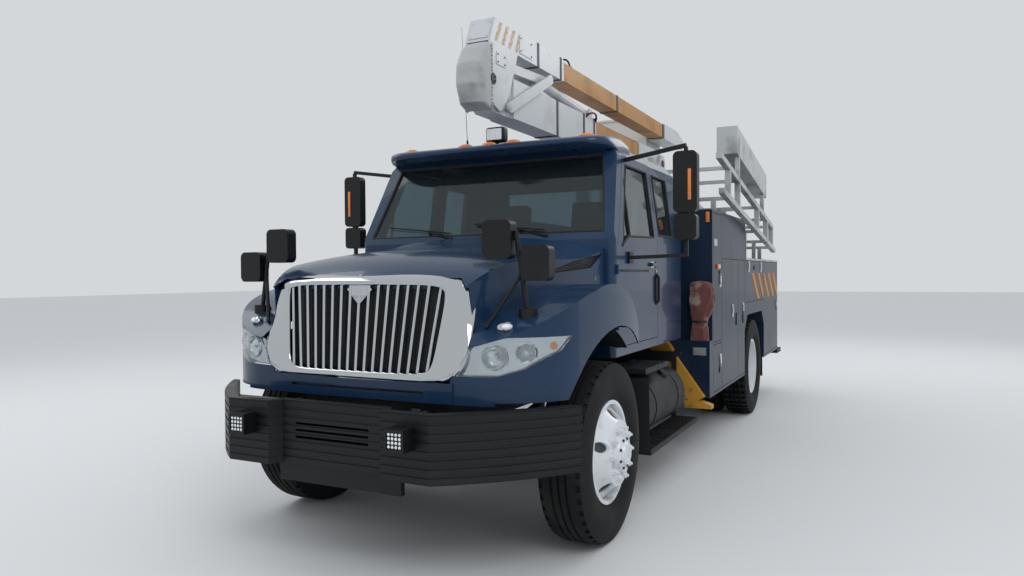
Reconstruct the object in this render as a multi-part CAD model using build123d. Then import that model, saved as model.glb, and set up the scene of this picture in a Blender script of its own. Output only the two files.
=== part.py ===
from build123d import *
import os

# Cherry picker truck: a two-axle cab and chassis with a service body, a turntable over the rear axle,
# a lower and an upper boom folded over the cab, and a bucket hung beside the upper boom's tip.
# Millimetres. The truck faces -Y, its driver's side is +X and the ground is Z = 0. While it is drawn,
# Y = 0 is the front axle; write_all() then centres the truck on the origin.

# Running clearances
SEAT_GAP = 0.3          # between faces that seat on each other
PIN_GAP = 0.1           # radial, between a pin and its bore
PANEL_GAP = 5.0         # around a door or lid
MOVE_GAP = 6.0          # between pieces that pass each other

# Wheels
TYRE_R = 525.0
TYRE_WIDTH = 280.0
BEAD_R = 286.0
FLANGE_R = 300.0
RIM_HALF = 112.0        # half width of the rim, over its flanges
FLANGE_THICK = 7.0
DISC_OFFSET = 165.0     # wheel disc from the rim's middle
DISC_THICK = 11.0
HUB_R = 112.0
HAND_HOLES = 5
HAND_HOLE_R = 30.0
WHEELBASE = 4597.0
FRONT_WHEEL_X = 1020.0
REAR_INNER_X = 725.0
REAR_OUTER_X = REAR_INNER_X + 2 * DISC_OFFSET
AXLE_Z = TYRE_R

# Chassis
RAIL_OUT = 432.0        # outer face of the frame rail
RAIL_FLANGE = 90.0
RAIL_PLATE = 10.0
RAIL_Z = (700.0, 960.0)
RAIL_FRONT = -850.0
RAIL_REAR = 6360.0
KINGPIN_X = 800.0
KINGPIN_R = 18.0
SPINDLE_R = 35.0
REAR_SPINDLE_R = 60.0
SPRING_WIDTH = 70.0

# Bumper
BUMPER_Z = (560.0, 900.0)
BUMPER_FACE_Y = -1184.0
BUMPER_THICK = 50.0
BUMPER_RIBS = 8
RIB_DEEP = 6.0
BUMPER_FLAT = 650.0     # half width of the straight face
BUMPER_BEND = (962.0, -918.0)
BUMPER_END = (1200.0, -630.0)
SPLASH_Z = (800.0, 808.0)

# Cab
CAB_Y = (450.0, 2180.0)
CAB_Z = (1020.0, 2530.0)
CAB_HALF = 1000.0
CAB_WALL = 45.0
CAB_CORNER_R = 46.0     # outside; the wall's thickness and a little more
GLASS_THICK = 6.0
GLASS_INSET = 12.0
BELT_Z = 1790.0
DOOR_Y = (500.0, 1440.0)
DOOR_Z = (1085.0, 2375.0)
HINGE_R = 9.0
DOOR_HINGE = (CAB_HALF + HINGE_R, DOOR_Y[0] - PANEL_GAP / 2)
BROW_Y = 570.0
BROW_TOP = 2478.0

# Hood
HOOD_THICK = 9.0
HOOD_REAR = 440.0
HOOD_PIVOT = (-900.0, 850.0)
HOOD_PIN_R = 14.0
HOOD_LUG_X = (425.0, 455.0)
FENDER_OUT = 1185.0
ARCH_R = 700.0

# Service body
BODY_OUT = 1200.0
BODY_IN = 760.0
BODY_Y = (2420.0, 6350.0)
BODY_WALL = 20.0
RAISED_REAR = 4010.0
RAISED_TOP = 2110.0
SHELF_TOP = 1720.0
BODY_BOTTOM = 500.0
WELL_HALF = 610.0
WELL_TOP = 1120.0
DECK_Z = (1100.0, 1140.0)
DOOR_THICK = 28.0

# Booms
TURRET_Y = 4680.0
TABLE_Z = 1815.0        # top of the pedestal, under the turntable
EAR_THICK = 24.0
BOOM_HALF = 100.0
LOWER_Z = (2710.0, 3000.0)
UPPER_Z = (3190.0, 3370.0)
LOWER_PIN = (4720.0, 2860.0)
LOWER_PIN_R = 35.0
ELBOW_PIN = (510.0, 2930.0)
ELBOW_PIN_R = 30.0
LIFT_FOOT = (4440.0, 1950.0)
LIFT_EYE = (4000.0, 2680.0)
LIFT_PIN_R = 22.0
ROCKER_PIN = (740.0, 2770.0)
ROCKER_PIN_R = 20.0
ROCKER_TOP = (1460.0, 3130.0)
PLATE_PIN = (720.0, 3080.0)
PLATE_PIN_R = 17.0
ELBOW_FOOT = (2500.0, 3050.0)
ELBOW_FOOT_R = 16.0

# Bucket
BUCKET_SIZE = 610.0
BUCKET_IN = 140.0       # bucket's near wall from the boom's middle
BUCKET_Z = (2420.0, 3490.0)
BUCKET_PIN = (5245.0, 3280.0)
BUCKET_PIN_R = 30.0

# Rack and outriggers
RACK_OUT = 1295.0
STICK_BOX_Y = (3054.0, 4796.0)
STICK_BOX_Z = 2669.0    # underside of the box's front end
OUTRIGGER_Y = (2205.0, 2298.0)
FOOT_Z = 425.0

parts = {}


def block(x, y, z):
    """A box between the two ends of each axis."""
    size = [b - a for a, b in (x, y, z)]
    middle = [(a + b) / 2 for a, b in (x, y, z)]
    return Pos(*middle) * Box(*size)


def prism(plane, points, start, end):
    """A polygon pushed along the axis that its plane's points leave out."""
    across = {"yz": Plane.YZ, "xz": Plane.XZ, "xy": Plane.XY}[plane]
    face = make_face(Polyline(*points, close=True))
    side = across * face
    if plane == "xz":
        return Pos(0, start, 0) * extrude(side, end - start, dir=(0, 1, 0))
    if plane == "yz":
        return Pos(start, 0, 0) * extrude(side, end - start, dir=(1, 0, 0))
    return Pos(0, 0, start) * extrude(side, end - start, dir=(0, 0, 1))


def rod(axis, radius, at, start, end):
    """A round bar along one axis, at the other two coordinates."""
    middle, length = (start + end) / 2, end - start
    if axis == "x":
        return Pos(middle, at[0], at[1]) * Rot(0, 90, 0) * Cylinder(radius, length)
    if axis == "y":
        return Pos(at[0], middle, at[1]) * Rot(90, 0, 0) * Cylinder(radius, length)
    return Pos(at[0], at[1], middle) * Cylinder(radius, length)


def bar(start, end, width, height, roll=0.0):
    """A square bar from one point to another; roll turns it about its length."""
    a, b = Vector(*start), Vector(*end)
    way = b - a
    plane = Plane(origin=(a + b) * 0.5, z_dir=way.normalized(), x_dir=side_of(way))
    return plane * Rot(0, 0, roll) * Box(width, height, way.length)


def tube(start, end, radius):
    """A round bar from one point to another."""
    a, b = Vector(*start), Vector(*end)
    way = b - a
    return Plane(origin=(a + b) * 0.5, z_dir=way.normalized(), x_dir=side_of(way)) * Cylinder(radius, way.length)


def side_of(way):
    """A direction across a bar, as level as it can be."""
    level = Vector(way.Y, -way.X, 0)
    return Vector(1, 0, 0) if level.length < 1e-6 else level.normalized()


def flip(shape):
    """The same piece on the other side of the truck."""
    return mirror(shape, about=Plane.YZ)


def both(shape):
    return [shape, flip(shape)]


def fuse(shapes):
    whole = shapes[0]
    for piece in shapes[1:]:
        whole = whole + piece
    return whole


def keep(name, *shapes):
    """Files the solids of one named piece."""
    parts[name] = [solid for shape in shapes for solid in shape.solids()]


def turned(points, out):
    """A ring turned about the X axis from (x, r) points; out is the side of the truck."""
    outline = [(out * x, r) for x, r in points]
    return revolve(Plane.XY * make_face(Polyline(*outline, close=True)), Axis.X, 360)


# Wheels

def tyre(middle, side):
    half = TYRE_WIDTH / 2
    bead = RIM_HALF - FLANGE_THICK - SEAT_GAP
    # columns: distance from the tyre's middle, radius
    outline = [
        (-bead, BEAD_R + SEAT_GAP), (-bead, FLANGE_R + 8), (-half, 400), (-half + 8, 470), (-half + 34, TYRE_R - 6),
        (-half + 44, TYRE_R), (half - 44, TYRE_R), (half - 34, TYRE_R - 6), (half - 8, 470), (half, 400),
        (bead, FLANGE_R + 8), (bead, BEAD_R + SEAT_GAP),
    ]
    return turned([(middle + x, r) for x, r in outline], side)


def rim_ring(middle, side, disc):
    """The rim and its dished disc; disc is +1 where the disc stands outboard, -1 inboard."""
    wall = BEAD_R - 10
    face = middle + disc * DISC_OFFSET
    barrel = turned([
        (middle - RIM_HALF, BEAD_R - 8), (middle - RIM_HALF, FLANGE_R), (middle - RIM_HALF + FLANGE_THICK, FLANGE_R),
        (middle - RIM_HALF + FLANGE_THICK, BEAD_R), (middle + RIM_HALF - FLANGE_THICK, BEAD_R),
        (middle + RIM_HALF - FLANGE_THICK, FLANGE_R), (middle + RIM_HALF, FLANGE_R), (middle + RIM_HALF, BEAD_R - 8),
    ], side)
    dish = turned([
        (middle + disc * 45, wall + 5), (middle + disc * 60, wall + 5), (middle + disc * 95, 245),
        (face, 190), (face, HUB_R - 10), (face - disc * DISC_THICK, HUB_R - 10),
        (face - disc * DISC_THICK, 184), (middle + disc * 82, 238),
    ], side)
    ring = barrel + dish
    for k in range(HAND_HOLES):
        angle = 360 * k / HAND_HOLES
        hole = Rot(angle, 0, 0) * rod("x", HAND_HOLE_R, (0, 218), middle - 170, middle + 170)
        ring = ring - (hole if side > 0 else flip(hole))
    return ring


def front_rim(side):
    inner = KINGPIN_X + 105
    drum = turned([
        (inner, SPINDLE_R + PIN_GAP), (inner, 205), (inner + 150, 205), (inner + 150, 120),
        (FRONT_WHEEL_X + DISC_OFFSET + 2, HUB_R), (FRONT_WHEEL_X + DISC_OFFSET + 30, HUB_R - 12),
        (FRONT_WHEEL_X + DISC_OFFSET + 36, 70), (FRONT_WHEEL_X + DISC_OFFSET + 52, 62),
        (FRONT_WHEEL_X + DISC_OFFSET + 52, 0), (FRONT_WHEEL_X + 60, 0), (FRONT_WHEEL_X + 60, SPINDLE_R + PIN_GAP),
    ], side)
    return rim_ring(FRONT_WHEEL_X, side, 1) + drum


def rear_rim(side):
    inner = REAR_INNER_X - 95
    drum = turned([
        (inner, REAR_SPINDLE_R + PIN_GAP), (inner, 210), (inner + 190, 210), (inner + 190, 130),
        (REAR_OUTER_X + 20, HUB_R), (REAR_OUTER_X + 30, HUB_R - 20), (REAR_OUTER_X + 44, 80),
        (REAR_OUTER_X + 44, 0), (REAR_OUTER_X - 20, 0), (REAR_OUTER_X - 20, REAR_SPINDLE_R + PIN_GAP),
    ], side)
    return rim_ring(REAR_INNER_X, side, 1) + rim_ring(REAR_OUTER_X, side, -1) + drum


def wheels():
    for name, side in (("left", 1), ("right", -1)):
        keep(f"tyre_front_{name}", Pos(0, 0, AXLE_Z) * tyre(FRONT_WHEEL_X, side))
        keep(f"rim_front_{name}", Pos(0, 0, AXLE_Z) * front_rim(side))
        twin = [Pos(0, WHEELBASE, AXLE_Z) * tyre(x, side) for x in (REAR_INNER_X, REAR_OUTER_X)]
        keep(f"tyres_rear_{name}", *twin)
        keep(f"rims_rear_{name}", Pos(0, WHEELBASE, AXLE_Z) * rear_rim(side))


# Chassis

def frame_rails():
    low, high = RAIL_Z
    inner = RAIL_OUT - RAIL_FLANGE
    channel = [
        (RAIL_OUT, low), (RAIL_OUT, high), (inner, high), (inner, high - RAIL_PLATE),
        (RAIL_OUT - RAIL_PLATE, high - RAIL_PLATE), (RAIL_OUT - RAIL_PLATE, low + RAIL_PLATE),
        (inner, low + RAIL_PLATE), (inner, low),
    ]
    rail = prism("xz", channel, RAIL_FRONT, RAIL_REAR)
    pieces = both(rail)
    web = RAIL_OUT - RAIL_PLATE
    for y in (RAIL_FRONT + 40, 1350, 2250, 3350, 4100, 5100, RAIL_REAR - 60):
        pieces.append(block((-web, web), (y - 30, y + 30), (low + 110, high - RAIL_PLATE)))
    keep("frame_rails", fuse(pieces))


def engine():
    web = RAIL_OUT - RAIL_PLATE
    radiator_bottom = RAIL_Z[1] + SEAT_GAP
    main = block((-290, 290), (-520, 380), (790, 1500))
    mounts = block((-web + SEAT_GAP, web - SEAT_GAP), (-260, -200), (820, 900))
    gearbox = prism("yz", [(380, 640), (380, 985), (900, 900), (1180, 850), (1180, 640)], -190, 190)
    shaft = rod("y", 55, (0, 700), 1180, WHEELBASE - 215)
    radiator = block((-400, 400), (-740, -660), (radiator_bottom, 1480))
    return [main + mounts + gearbox + shaft, radiator]


def leaf_springs(middle, reach, seat):
    """One pair of leaf springs with their hangers under the rails; seat is the axle's top."""
    low = RAIL_Z[0] - SEAT_GAP
    x = RAIL_OUT - RAIL_FLANGE / 2
    pack = [
        (middle - reach, low), (middle - reach, low - 75), (middle - reach * 0.45, seat), (middle + reach * 0.45, seat),
        (middle + reach, low - 75), (middle + reach, low), (middle + reach - 50, low),
        (middle + reach - 50, low - 40), (middle + reach * 0.42, seat + 42), (middle - reach * 0.42, seat + 42),
        (middle - reach + 50, low - 40), (middle - reach + 50, low),
    ]
    spring = prism("yz", pack, x - SPRING_WIDTH / 2, x + SPRING_WIDTH / 2)
    return both(spring)


def axles():
    boss = 45.0
    top = AXLE_Z + 55
    beam = prism("xz", [
        (-KINGPIN_X, AXLE_Z - 45), (-KINGPIN_X + 170, AXLE_Z - 95), (KINGPIN_X - 170, AXLE_Z - 95),
        (KINGPIN_X, AXLE_Z - 45), (KINGPIN_X, AXLE_Z + 45), (KINGPIN_X - 150, AXLE_Z + 20),
        (KINGPIN_X - 300, top - 15), (RAIL_OUT - RAIL_FLANGE - 20, top - 15), (RAIL_OUT - RAIL_FLANGE - 60, AXLE_Z - 5),
        (-RAIL_OUT + RAIL_FLANGE + 60, AXLE_Z - 5), (-RAIL_OUT + RAIL_FLANGE + 20, top - 15),
        (-KINGPIN_X + 300, top - 15), (-KINGPIN_X + 150, AXLE_Z + 20), (-KINGPIN_X, AXLE_Z + 45),
    ], -45, 45)
    front = [beam] + leaf_springs(0, 640, top - 20)
    for side in (1, -1):
        front.append(rod("z", boss, (side * KINGPIN_X, 0), AXLE_Z - 70, AXLE_Z + 70))
    eye = rod("z", KINGPIN_R + PIN_GAP, (KINGPIN_X, 0), AXLE_Z - 80, AXLE_Z + 80)
    front_axle = fuse(front) - eye - flip(eye)

    housing_end = REAR_INNER_X - 95 - MOVE_GAP
    tube_half = rod("x", 68, (WHEELBASE, AXLE_Z), 0, housing_end)
    spindle = rod("x", REAR_SPINDLE_R, (WHEELBASE, AXLE_Z), housing_end - 5, REAR_OUTER_X - 30)
    banjo = turned([(-150, 0), (-130, 120), (-60, 190), (60, 190), (130, 120), (150, 0)], 1)
    nose = rod("y", 80, (0, AXLE_Z + 40), WHEELBASE - 212, WHEELBASE - 60)
    rear = [Pos(0, WHEELBASE, AXLE_Z) * banjo, nose, tube_half, flip(tube_half), spindle, flip(spindle)]
    rear += leaf_springs(WHEELBASE, 720, AXLE_Z + 66)
    keep("running_gear", front_axle, fuse(rear), *engine())


def knuckle(side):
    yoke_top, yoke_low = AXLE_Z + 75, AXLE_Z - 75
    outer = KINGPIN_X + 90
    pieces = [
        block((KINGPIN_X - 35, outer), (-35, 35), (yoke_top, yoke_top + 35)),
        block((KINGPIN_X - 35, outer), (-35, 35), (yoke_low - 35, yoke_low)),
        block((outer - 35, outer), (-60, 60), (yoke_low - 35, yoke_top + 35)),
        rod("z", KINGPIN_R, (KINGPIN_X, 0), yoke_low - 5, yoke_top + 5),
        rod("x", SPINDLE_R, (0, AXLE_Z), outer - 5, FRONT_WHEEL_X + 50),
        block((KINGPIN_X - 40, KINGPIN_X), (30, 190), (yoke_low - 35, yoke_low - 10)),
    ]
    piece = fuse(pieces)
    return piece if side > 0 else flip(piece)


def knuckles():
    keep("knuckle_left", knuckle(1))
    keep("knuckle_right", knuckle(-1))


def tanks():
    x, z, radius = 888.0, 612.0, 208.0
    start, end = 885.0, 1900.0
    tank = fillet(rod("y", radius, (x, z), start, end).edges(), 30)
    pieces = [tank]
    for y in (start + 210, end - 210):
        pieces.append(rod("y", radius + 5, (x, z), y - 28, y + 28))
        pieces.append(block((RAIL_OUT + SEAT_GAP, x - 150), (y - 28, y + 28), (RAIL_Z[0] - 20, RAIL_Z[0] + 90)))
    tank = fuse(pieces)
    return [tank, flip(tank)]


def steps():
    """The cab steps on their hangers, and the step across the truck's tail."""
    outer = 1135.0
    low_step = (330.0, 360.0)
    high_step = (877.0, 905.0)
    front, rear = 803.0, 2142.0
    inner = RAIL_OUT + SEAT_GAP
    pieces = []
    for y in (front, rear - 24):
        hanger = [(inner, 820), (inner, high_step[1]), (1000, high_step[1]), (1000, high_step[0]), (960, 860),
                  (960, low_step[0]), (920, low_step[0]), (920, 820)]
        pieces.append(prism("xz", hanger, y, y + 24))
    pieces.append(block((925, outer), (front, rear), low_step))
    pieces.append(block((820, 1100), (front, 1402), high_step))
    pieces.append(block((inner, 830), (1378, 1402), high_step))
    cab_step = fuse(pieces)
    for y in range(900, 2060, 116):
        cab_step = cab_step - block((950, outer - 25), (y - 40, y + 40), (low_step[0] - 5, low_step[1] + 5))
    tail = block((-BODY_OUT, BODY_OUT), (RAIL_REAR + SEAT_GAP, 6680), (500, 555))
    for side in (1, -1):
        x = side * (RAIL_OUT - RAIL_FLANGE / 2)
        drop = prism("yz", [(RAIL_REAR + SEAT_GAP, 540), (RAIL_REAR + SEAT_GAP, 950), (RAIL_REAR + 45, 950), (6560, 540)],
                     x - 25, x + 25)
        tail = tail + drop
    keep("tanks_and_steps", cab_step, flip(cab_step), tail, *tanks())


# Bumper

def bumper_outline(grow):
    """The bumper seen from above, grown outwards; half of it, closed on the truck's middle."""
    face, thick = BUMPER_FACE_Y, BUMPER_THICK
    end_x, end_y = BUMPER_END
    centre = face + 72
    outer = [(0, centre - grow), (330, centre - grow), (365, face - grow), (BUMPER_FLAT, face - grow)]
    inner = [(end_x - thick, end_y), (BUMPER_FLAT - thick * 0.4, face + thick), (390, face + thick), (350, centre + thick),
             (0, centre + thick)]
    front = Polyline(*outer)
    bend_x, bend_y = BUMPER_BEND
    bend = ThreePointArc(outer[-1], (bend_x + grow * 0.7, bend_y - grow * 0.7), (end_x + grow, end_y))
    tip = Line((end_x + grow, end_y), inner[0])
    back_bend = ThreePointArc(inner[0], (bend_x - thick * 0.7, bend_y + thick * 0.7), inner[1])
    back = Polyline(*inner[1:])
    closing = Line(inner[-1], outer[0])
    return make_face(Curve() + [front, bend, tip, back_bend, back, closing])


def bumper():
    low, high = BUMPER_Z
    pitch = (high - low) / BUMPER_RIBS
    half = Pos(0, 0, low) * extrude(bumper_outline(0), high - low)
    for k in range(BUMPER_RIBS):
        rib = extrude(bumper_outline(RIB_DEEP), pitch * 0.62)
        half = half + Pos(0, 0, low + pitch * (k + 0.19)) * rib
    centre_back = BUMPER_FACE_Y + 72 + BUMPER_THICK
    web = RAIL_OUT - RAIL_FLANGE / 2
    half = half + block((web - 35, web + 35), (centre_back - 30, RAIL_FRONT - SEAT_GAP), (715, 835))
    half = half + block((0, 400), (centre_back - 2, centre_back + 30), (450, 610))
    for k in range(3):
        half = half - block((-1, 240), (BUMPER_FACE_Y, centre_back + 5), (700 + 36 * k, 714 + 36 * k))
    half = half + rod("x", HOOD_PIN_R + 10, HOOD_PIVOT, web - 20, HOOD_LUG_X[0] - 2)
    half = half + rod("x", HOOD_PIN_R, HOOD_PIVOT, web - 20, HOOD_LUG_X[1] + 4)
    back = BUMPER_END[1] - 15
    half = half + prism("xy", [(RAIL_OUT + 8, BUMPER_FACE_Y + 34), (BUMPER_FLAT - 10, BUMPER_FACE_Y + 34),
                               (BUMPER_BEND[0] - 32, BUMPER_BEND[1] + 23), (BUMPER_END[0] - 35, back),
                               (RAIL_OUT + 8, back)], *SPLASH_Z)
    keep("bumper", half + flip(half))


# Cab

def cab_solid(inset):
    """The closed cab, each face moved in by inset."""
    section = [
        (-CAB_HALF, CAB_Z[0]), (CAB_HALF, CAB_Z[0]), (CAB_HALF, BELT_Z), (CAB_HALF - 75, 2375),
        (CAB_HALF - 135, 2450), (CAB_HALF - 400, 2505), (0, CAB_Z[1]), (-CAB_HALF + 400, 2505),
        (-CAB_HALF + 135, 2450), (-CAB_HALF + 75, 2375), (-CAB_HALF, BELT_Z),
    ]
    side = [
        (CAB_Y[0], CAB_Z[0]), (CAB_Y[0], BELT_Z), (CAB_Y[0] + 305, 2405), (CAB_Y[0] + 400, 2480), (CAB_Y[0] + 620, 2522),
        (CAB_Y[0] + 900, CAB_Z[1]), (CAB_Y[1] - 260, 2518), (CAB_Y[1] - 60, 2450), (CAB_Y[1], 2300), (CAB_Y[1], CAB_Z[0]),
    ]
    across = make_face(Polyline(*section, close=True))
    along = make_face(Polyline(*side, close=True))
    if inset:
        across = offset(across, -inset, kind=Kind.INTERSECTION)
        along = offset(along, -inset, kind=Kind.INTERSECTION)
    plan = Pos(0, (CAB_Y[0] + CAB_Y[1]) / 2, 0) * RectangleRounded(
        2 * (CAB_HALF - inset), CAB_Y[1] - CAB_Y[0] - 2 * inset, CAB_CORNER_R - inset)
    bar_y = extrude(Pos(0, -500, 0) * (Plane.XZ * across), 4000, dir=(0, 1, 0)) & extrude(plan, 4000)
    bar_x = extrude(Pos(-1500, 0, 0) * (Plane.YZ * along), 3000, dir=(1, 0, 0))
    return bar_y & bar_x


def door_outline(gap):
    """The cab door seen from the side, in (y, z), grown by gap."""
    a, b = DOOR_Y
    low, high = DOOR_Z
    return [
        (a - gap, low - gap), (b + gap, low - gap), (b + gap, high + gap), (a + 345 - gap * 0.5, high + gap),
        (a + 50 - gap, BELT_Z + 5), (a - gap, BELT_Z - 60),
    ]


def door_window(gap):
    """The door's glass opening, in (y, z), shrunk by gap."""
    a, b = DOOR_Y
    return [
        (a + 125 + gap, BELT_Z - 40 + gap), (a + 260, BELT_Z + 25 + gap), (b - 75 - gap, BELT_Z + 40 + gap),
        (b - 80 - gap, 2315 - gap), (a + 390 + gap, 2315 - gap),
    ]


QUARTER = ((1510.0, 1880.0), (1850.0, 2310.0))     # rear quarter window: y ends, z ends
REAR_WINDOW = ((-620.0, 620.0), (1850.0, 2300.0))  # x ends, z ends


def windscreen_cut(gap):
    """The windscreen's opening as a prism through the front, shrunk by gap."""
    foot, head = CAB_HALF - 75, CAB_HALF - 175
    outline = [
        (-foot + gap, BELT_Z + 45 + gap), (foot - gap, BELT_Z + 45 + gap), (head - gap, 2385 - gap),
        (-head + gap, 2385 - gap),
    ]
    return prism("xz", outline, 350, 950)


def door_hinges():
    """The cab's leaves with their pins, and the door's leaves around them, for the driver's side."""
    x, y = DOOR_HINGE
    fixed, moving = [], []
    for z in (1230.0, 1590.0):
        leaf_x = (CAB_HALF - 8, CAB_HALF + 4)
        fixed += [block(leaf_x, (y - 24, y - HINGE_R - 1.5), (z - 32, z + 32)),
                  block(leaf_x, (y - 20, y - 3), (z - 32, z - 16)), block(leaf_x, (y - 20, y - 3), (z + 16, z + 32)),
                  rod("z", HINGE_R, (x, y), z - 32, z - 16), rod("z", HINGE_R, (x, y), z + 16, z + 32),
                  rod("z", HINGE_R - 4, (x, y), z - 20, z + 20)]
        bore = rod("z", HINGE_R - 4 + PIN_GAP, (x, y), z - 20, z + 20)
        moving.append(block(leaf_x, (y + 3, y + 34), (z - 15, z + 15)) + (
            rod("z", HINGE_R, (x, y), z - 15, z + 15) - bore))
    return fuse(fixed), fuse(moving)


def brow():
    """The roof's front edge, which hangs over the windscreen."""
    side = prism("yz", [(BROW_Y, 2440), (760, 2404), (900, 2470), (1050, 2515), (800, 2512), (BROW_Y + 20, BROW_TOP)], -900, 900)
    plan = [(-780, BROW_Y), (780, BROW_Y), (862, 690), (800, 1100), (-800, 1100), (-862, 690)]
    visor = side & prism("xy", plan, 2350, 2600)
    return fillet([edge for edge in visor.edges().filter_by(Axis.X) if edge.center().Y < BROW_Y + 30], 14)


def cab():
    outer, inner = cab_solid(0), cab_solid(CAB_WALL)
    shell = outer - inner
    door_cut = prism("yz", door_outline(PANEL_GAP), CAB_HALF - 200, CAB_HALF + 100)
    quarter = block((CAB_HALF - 200, CAB_HALF + 100), *QUARTER)
    rear = block(REAR_WINDOW[0], (CAB_Y[1] - 100, CAB_Y[1] + 50), REAR_WINDOW[1])
    for cut in (door_cut, quarter):
        shell = shell - cut - flip(cut)
    shell = shell - windscreen_cut(0) - rear
    fixed, moving = door_hinges()
    shell = shell + brow() + fixed + flip(fixed)
    # legs that stand the cab on the frame rails
    for y in (700, 1900):
        leg = block((RAIL_OUT - 70, RAIL_OUT - 10), (y - 60, y + 60), (RAIL_Z[1] + SEAT_GAP, CAB_Z[0] + 5))
        shell = shell + leg + flip(leg)
    keep("cab_shell", shell)

    pane = cab_solid(GLASS_INSET) - cab_solid(GLASS_INSET + GLASS_THICK)
    q = SEAT_GAP
    quarter_pane = block((CAB_HALF - 200, CAB_HALF + 100), (QUARTER[0][0] + q, QUARTER[0][1] - q),
                         (QUARTER[1][0] + q, QUARTER[1][1] - q))
    rear_pane = block((REAR_WINDOW[0][0] + q, REAR_WINDOW[0][1] - q), (CAB_Y[1] - 100, CAB_Y[1] + 50),
                      (REAR_WINDOW[1][0] + q, REAR_WINDOW[1][1] - q))
    side_glass = pane & quarter_pane
    keep("cab_glass", pane & windscreen_cut(q), side_glass, flip(side_glass), pane & rear_pane)

    door = (outer - inner) & prism("yz", door_outline(0), CAB_HALF - 200, CAB_HALF + 100)
    door = door - prism("yz", door_window(0), CAB_HALF - 200, CAB_HALF + 100)
    handle = block((CAB_HALF - 2, CAB_HALF + 22), (DOOR_Y[1] - 190, DOOR_Y[1] - 60), (1615, 1640))
    door = door + handle + moving
    glass = pane & prism("yz", door_window(q), CAB_HALF - 200, CAB_HALF + 100)
    keep("door_left", door)
    keep("door_right", flip(door))
    keep("door_glass_left", glass)
    keep("door_glass_right", flip(glass))


def cab_interior():
    wall = CAB_HALF - CAB_WALL - SEAT_GAP
    front = CAB_Y[0] + CAB_WALL + SEAT_GAP
    floor = CAB_Z[0] + CAB_WALL + SEAT_GAP
    dash = prism("yz", [(front, 1380), (front, 1745), (front + 240, 1740), (front + 300, 1650), (front + 240, 1380)],
                 -wall + 70, wall - 70)
    post = bar((450, front + 220, 1480), (450, front + 330, 1620), 70, 70)
    wheel_plane = Plane(origin=(450, front + 345, 1650), z_dir=(0, 0.62, 0.78))
    ring = wheel_plane * Torus(225, 15)
    hub = wheel_plane * Cylinder(45, 30)
    spokes = [wheel_plane * Rot(0, 0, a) * Pos(112, 0, 0) * Box(224, 28, 14) for a in (90, 210, 330)]
    pieces = [dash + post + fuse([ring, hub] + spokes)]
    for x in (450, -450):
        seat = block((x - 250, x + 250), (1160, 1650), (1340, 1460))
        back = prism("yz", [(1560, 1440), (1680, 1440), (1790, 2130), (1690, 2150)], x - 240, x + 240)
        base = block((x - 180, x + 180), (1240, 1580), (floor, 1345))
        pieces.append(fuse([seat, back, base]))
    keep("cab_interior", *pieces)


# Hood

def hood_section(y, half, shoulder, crown):
    """One cross section of the hood's middle: upright sides, a crowned top."""
    low = 900.0
    top = ThreePointArc((-half, shoulder), (0, crown), (half, shoulder))
    rest = Polyline((half, shoulder), (half, low), (-half, low), (-half, shoulder))
    return Pos(0, y, 0) * (Plane.XZ * make_face(Curve() + [top, rest]))


def hood_middle(inset):
    # columns: y, half width, shoulder height, crown height
    table = [
        (-885 + inset, 610, 1300, 1345), (-840 + inset, 655, 1500, 1560), (-670, 722, 1590, 1650),
        (-250, 830, 1650, 1725), (HOOD_REAR, 935, 1730, 1822),
    ]
    faces = [hood_section(y, half - inset, shoulder - inset, crown - inset) for y, half, shoulder, crown in table]
    return loft(faces[:2], ruled=True) + loft(faces[1:])


def fender_solid(inset):
    """The fender's block: its plan outline crossed with its side outline."""
    g = inset
    plan = Curve() + [
        Polyline((560, -905 + g), (700, -890 + g)),
        ThreePointArc((700, -890 + g), (1010 - g * 0.7, -740 + g * 0.7), (1140 - g, -500)),
        ThreePointArc((1140 - g, -500), (FENDER_OUT - g, -60), (1165 - g, HOOD_REAR)),
        Polyline((1165 - g, HOOD_REAR), (560, HOOD_REAR), (560, -905 + g)),
    ]
    side = Curve() + [
        Polyline((HOOD_REAR, 1000), (HOOD_REAR, 1230 - g)),
        ThreePointArc((HOOD_REAR, 1230 - g), (270, 1400 - g), (60, 1480 - g)),
        ThreePointArc((60, 1480 - g), (-120, 1505 - g), (-320, 1470 - g)),
        ThreePointArc((-320, 1470 - g), (-680, 1345 - g), (-910 + g, 1190)),
        Polyline((-910 + g, 1190), (-940 + g, 1040), (-920 + g, 900), (-300, 900), (HOOD_REAR, 1000)),
    ]
    upright = extrude(make_face(plan), 800)
    across = extrude(Plane.YZ * make_face(side), 800, dir=(1, 0, 0))
    return (Pos(0, 0, 850) * upright) & (Pos(500, 0, 0) * across)


HEADLAMP = [(600, 1045), (705, 1195), (880, 1245), (1125, 1245), (1090, 1170), (960, 1085), (840, 1050)]


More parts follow.
